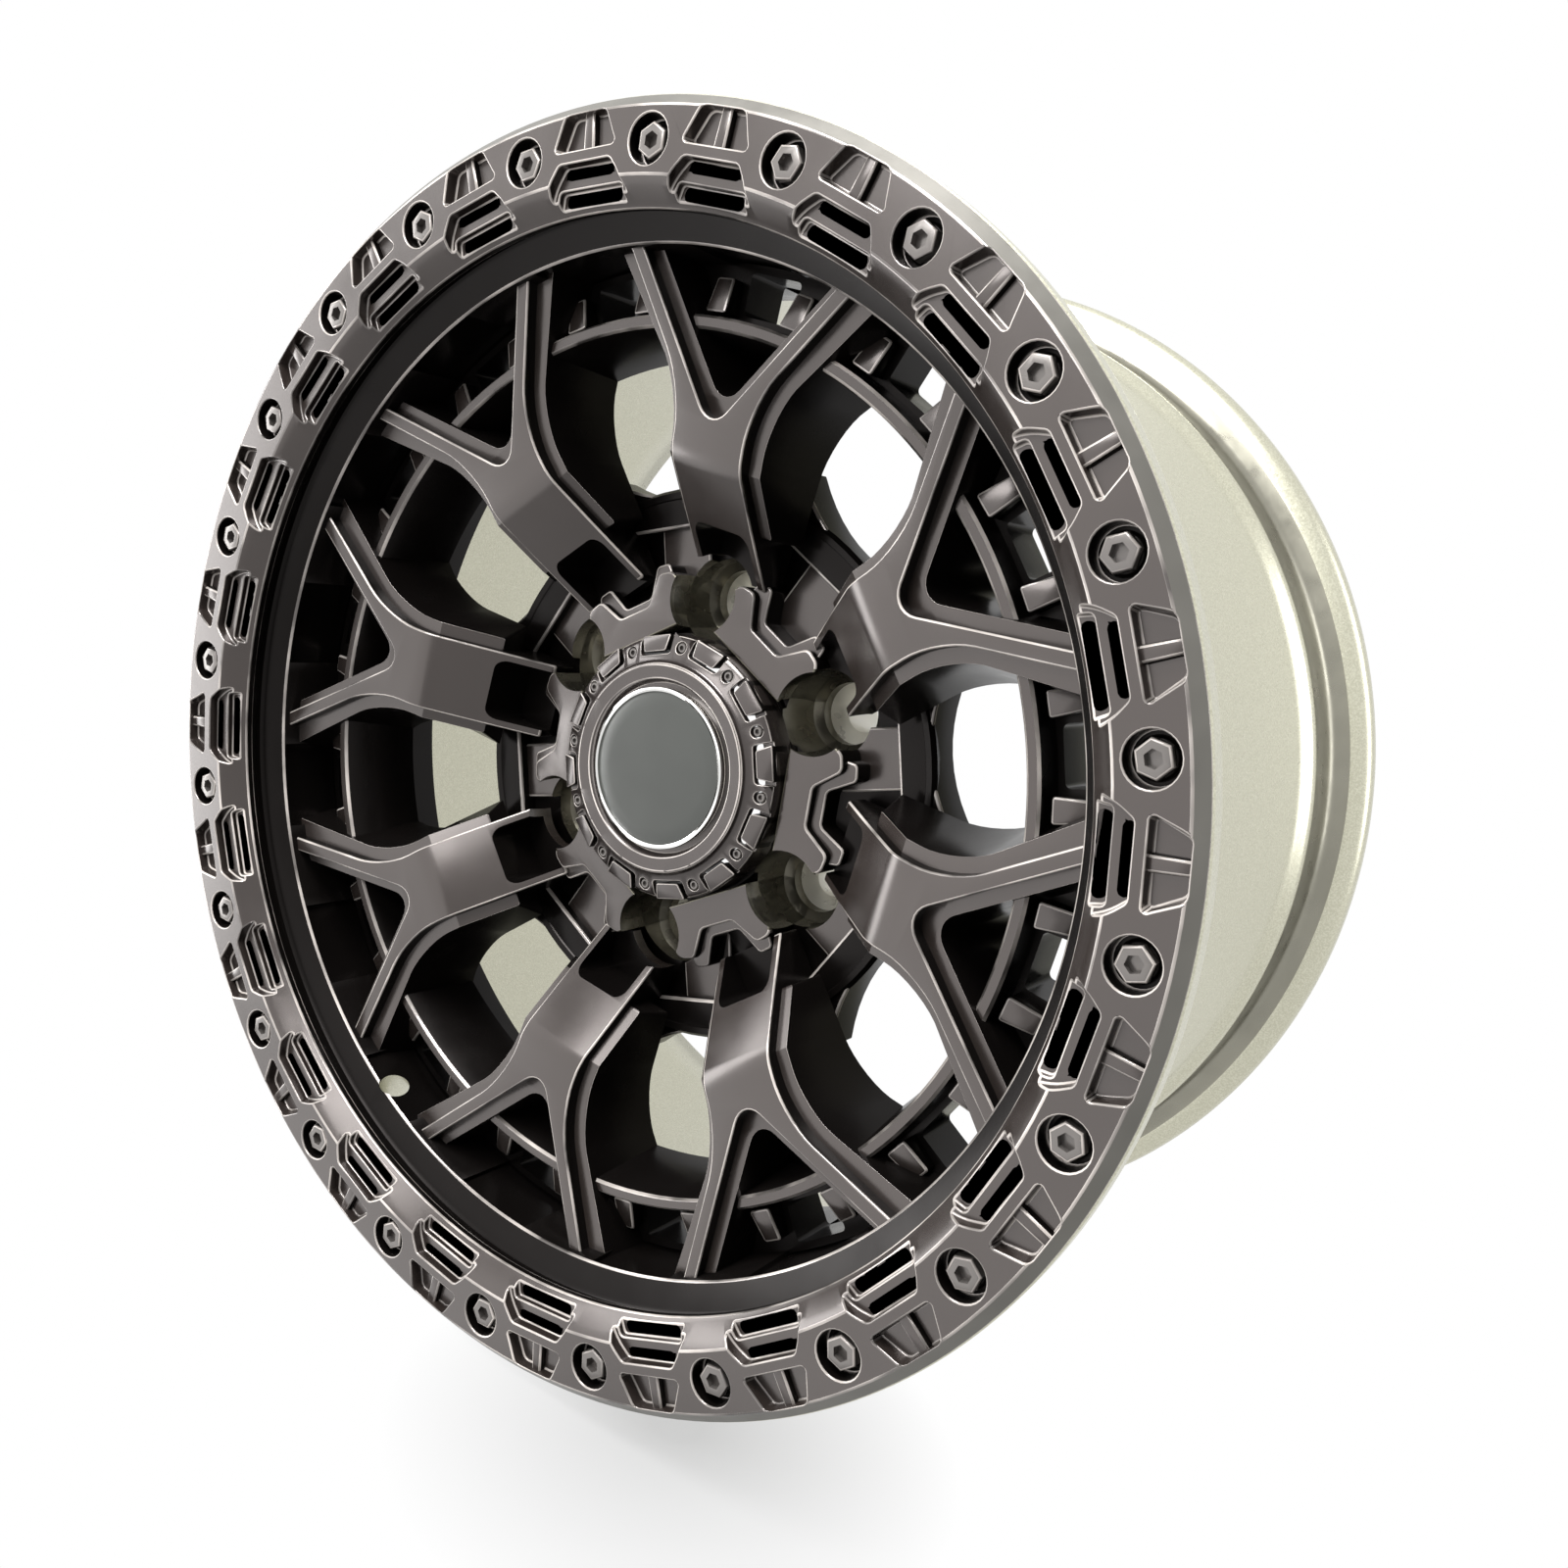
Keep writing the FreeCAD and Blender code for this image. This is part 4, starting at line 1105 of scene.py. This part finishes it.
@dataclass
class Cap:
    """The dished centre cap with notched rim pads and small socket screws."""

    pads: int = 12
    steps: int = 128
    edge: float = 0.3
    screw_circle: float = 48.9
    profile: tuple[Pair, ...] = (
        (0.0, 60.5), (34.6, 60.5), (35.2, 58.2), (36.2, 57.1), (41.4, 56.6), (42.2, 57.0), (42.8, 58.4),
        (43.6, 59.1), (51.6, 61.6), (53.2, 63.0), (53.6, 64.5), (53.6, 75.0), (50.7, 75.0), (50.7, 96.0),
        (48.3, 96.0), (48.3, 63.0), (0.0, 63.0),
    )
    screw_hole: tuple[Pair, ...] = ((0.0, 50.0), (2.5, 50.0), (2.5, 63.5), (0.0, 63.5))
    screw: tuple[Pair, ...] = (
        (0.0, 62.4), (1.0, 62.4), (1.05, 61.2), (1.7, 61.2), (2.05, 61.6), (2.1, 63.5), (0.0, 63.5),
    )
    bezel: tuple[Pair, ...] = (
        (30.6, 57.4), (30.9, 56.6), (31.7, 56.2), (32.5, 56.5), (32.8, 57.3), (32.8, 60.5), (30.6, 60.5),
    )
    badge: tuple[Pair, ...] = (
        (0.0, 56.5), (12.0, 56.55), (24.0, 56.75), (30.2, 57.1), (30.8, 57.4), (30.8, 60.5), (0.0, 60.5),
    )
    notch: Slab = Slab(((7.6, 45.6, 1.4), (9.0, 57.0, 0.0)), 50.0, 64.0)
    pad: Slab = Slab(((5.4, 46.9, 0.8), (7.2, 53.4, 0.8)), 59.6, 72.0, start=46.9, fall=0.3, edge=0.4,
                     edge_steps=2, corner_steps=3)

    def at_screws(self, profile: Sequence[Pair], steps: int) -> Shape:
        """A turned shape at the place of every screw.

        Args:
            profile: pairs of radius and depth.
            steps: facets in the full turn.

        Returns:
            One shape with all the copies.
        """
        shape = lathe(profile, steps)
        shift(shape, (0, 0, self.screw_circle * MM))
        return pattern(shape, self.pads, 0.0)

    def build(self) -> list[Piece]:
        """Returns the cap body, its pads and its screws."""
        half = 180.0 / self.pads
        body = make_object("cap_body", lathe(self.profile, self.steps))
        carve(body, pattern(self.notch.make(), self.pads, half))
        carve(body, self.at_screws(self.screw_hole, 20))
        tidy_mesh(body)
        soften(body, self.edge)
        pads = make_object("cap_pads", pattern(self.pad.make(), self.pads, half))
        screws = make_object("cap_screw_heads", self.at_screws(self.screw, 18))
        for piece in (pads, screws):
            shade_by_angle(piece, 40.0)
        return [body, pads, screws]

    def trim(self) -> list[Piece]:
        """Returns the bright bezel and the bare badge inside it."""
        bezel = make_object("bright_bezel", lathe(self.bezel, self.steps))
        badge = make_object("bare_badge", lathe(self.badge, self.steps))
        for piece in (bezel, badge):
            shade_by_angle(piece, 40.0)
        return [bezel, badge]


@dataclass(frozen=True)
class Softbox:
    """A soft rectangular lamp that looks at the wheel's centre."""

    name: str
    spot: tuple[float, float, float]
    size: Pair
    power: float

    def make(self) -> None:
        """Puts the lamp into the scene."""
        data = bpy.data.lights.new(self.name, "AREA")
        data.shape = "RECTANGLE"
        data.size, data.size_y = self.size
        data.energy = self.power
        lamp = bpy.data.objects.new(self.name, data)
        lamp.location = self.spot
        lamp.rotation_euler = (-Vector(lamp.location)).to_track_quat("-Z", "Y").to_euler()
        bpy.context.scene.collection.objects.link(lamp)


@dataclass
class Studio:
    """Camera, lamps, backdrop and floor, in metres."""

    eye: tuple[float, float, float] = (0.3210, -0.4791, 0.0986)
    turn: tuple[float, float, float] = (1.38466, -0.17047, 0.59825)
    lens: float = 30.14
    sensor: float = 36.0
    floor: tuple[float, float, float] = (0.082, -0.1, -0.2362)
    floor_reach: float = 0.115
    floor_fade: Pair = (0.01, 0.95)
    floor_alpha: float = 0.42
    # Grey of the floor patch under the wheel: a painted shadow.
    floor_shadow_grey: tuple[float, float, float, float] = (0.2, 0.2, 0.2, 1.0)
    ambient: float = 0.28
    lamps: tuple[Softbox, ...] = (
        Softbox("top_softbox", (-0.1, -0.55, 1.1), (0.6, 0.5), 24.0),
        Softbox("front_softbox", (-0.9, -1.3, -0.15), (2.6, 2.6), 22.0),
        Softbox("slope_card", (-0.12, -0.84, 0.58), (0.5, 0.3), 4.0),
        Softbox("left_softbox", (-1.2, -0.55, 0.1), (0.4, 1.4), 10.0),
        Softbox("right_softbox", (1.2, 0.2, 0.4), (0.4, 1.0), 5.0),
    )

    def camera(self) -> None:
        """Sets the camera at the photograph's viewing angle."""
        data = bpy.data.cameras.new("camera")
        data.lens = self.lens
        data.sensor_width = self.sensor
        data.clip_start = 0.01
        camera = bpy.data.objects.new("camera", data)
        camera.location = self.eye
        camera.rotation_euler = self.turn
        bpy.context.scene.collection.objects.link(camera)
        bpy.context.scene.camera = camera

    def world(self) -> None:
        """A white surround that is bright to the eye and softer as light."""
        world = bpy.data.worlds.new("studio")
        world.use_nodes = True
        bpy.context.scene.world = world
        tree = world.node_tree
        shade = tree.nodes["Background"]
        shade.inputs["Color"].default_value = (1.0, 1.0, 1.0, 1.0)
        path = tree.nodes.new("ShaderNodeLightPath")
        spread = tree.nodes.new("ShaderNodeMapRange")
        spread.inputs["To Min"].default_value = self.ambient
        spread.inputs["To Max"].default_value = 1.0
        seen = path.outputs["Is Camera Ray"]
        for ray in ("Is Glossy Ray", "Is Transmission Ray"):
            either = tree.nodes.new("ShaderNodeMath")
            either.operation = "MAXIMUM"
            tree.links.new(seen, either.inputs[0])
            tree.links.new(path.outputs[ray], either.inputs[1])
            seen = either.outputs["Value"]
        tree.links.new(seen, spread.inputs["Value"])
        tree.links.new(spread.outputs["Result"], shade.inputs["Strength"])

    def ground(self) -> None:
        """A grey round floor patch that fades into the surround. The lamps cast the wheel's shadow on it, and
        its grey, darker than a lit pale floor, is a painted shadow under the wheel.
        """
        shape = bmesh.new()
        bmesh.ops.create_circle(shape, cap_ends=True, segments=96, radius=self.floor_reach)
        shift(shape, self.floor)
        floor = make_object("floor", shape)
        nodes = NodeTree("painted_shadow_floor")
        nodes.set(Base_Color=self.floor_shadow_grey, Roughness=0.8, Specular_IOR_Level=0.0)
        length = nodes.tree.nodes.new("ShaderNodeVectorMath")
        length.operation = "DISTANCE"
        length.inputs[1].default_value = self.floor
        nodes.tree.links.new(nodes.coords, length.inputs[0])
        near, far = self.floor_fade
        fade = nodes.spread(length.outputs["Value"], self.floor_alpha, 0.0, near, far * self.floor_reach)
        nodes.feed(fade, "Alpha")
        dress(floor, nodes.material)

    def build(self) -> None:
        """Sets up the whole studio."""
        self.camera()
        self.world()
        self.ground()
        for lamp in self.lamps:
            lamp.make()
        bpy.context.scene.view_settings.view_transform = "Standard"


def main() -> None:
    """Builds every piece and reports it."""
    logging.basicConfig(level=logging.INFO, format="%(name)s %(message)s")
    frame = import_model()
    paint = PAINT.make()
    # near-black for walls, recesses and hollows: a painted shade
    deep = PAINTED_SHADE_BLACK.make()
    # lighter black for rounded edges: a painted highlight
    edges = PAINTED_HIGHLIGHT_GREY.make()
    bolt_black = BOLT_BLACK.make()
    black = [paint, edges, deep]
    ring = Ring()
    settle(ring.build(), "satin_black", [*black, RING_LIP.make()], "beadlock_ring")
    settle(ring.ribs(), "satin_black", black)
    # The bolts' chamfers take the painted highlight and their flanges the painted shade.
    settle(RingBolts().build(), "black_steel", [bolt_black, edges, deep], "ring_bolts")
    # The barrel's painted front inside takes the painted shade, and the shelf's edge line the painted
    # highlight.
    barrel_finishes = [BARE.make(), deep, SEAT_GREY.make(), edges]
    settle(Barrel().build(), "satin_black", barrel_finishes, "wheel_casting")
    hub = Hub()
    rib = RibFloor()
    for piece in [*Spokes().build(hub.wells()), rib.build(), rib.teeth()]:
        settle(piece, "satin_black", black)
    lug_finishes = [edges, deep, WELL_PAINT.make(), LUG_SEAT.make()]
    for piece in hub.build():
        # The hub and the webs are coloured all over with the near-black of painted shade.
        main_finish = deep if piece.name in ("hub", "hub_webs") else paint
        settle(piece, "satin_black", [main_finish, *lug_finishes])
    cap = Cap()
    body, pads, screws = cap.build()
    # The cap's rounded edges take the painted highlight and its pads' walls the painted shade.
    cap_finishes = [CAP_PAINT.make(), edges, deep]
    settle(body, "cap_black", cap_finishes, "centre_cap")
    settle(pads, "cap_black", cap_finishes)
    settle(screws, "cap_black", [bolt_black], "cap_screws")
    bezel, badge = cap.trim()
    settle(bezel, "bright_trim", [CHROME.make()], "cap_bezel")
    settle(badge, "badge_grey", [BADGE.make()], "cap_badge")
    dress(frame["nodes"]["cap_retaining_wire"], bolt_black)
    LOG.info("cap_retaining_wire keeps its solid")
    Studio().build()


if __name__ == "__main__":
    main()
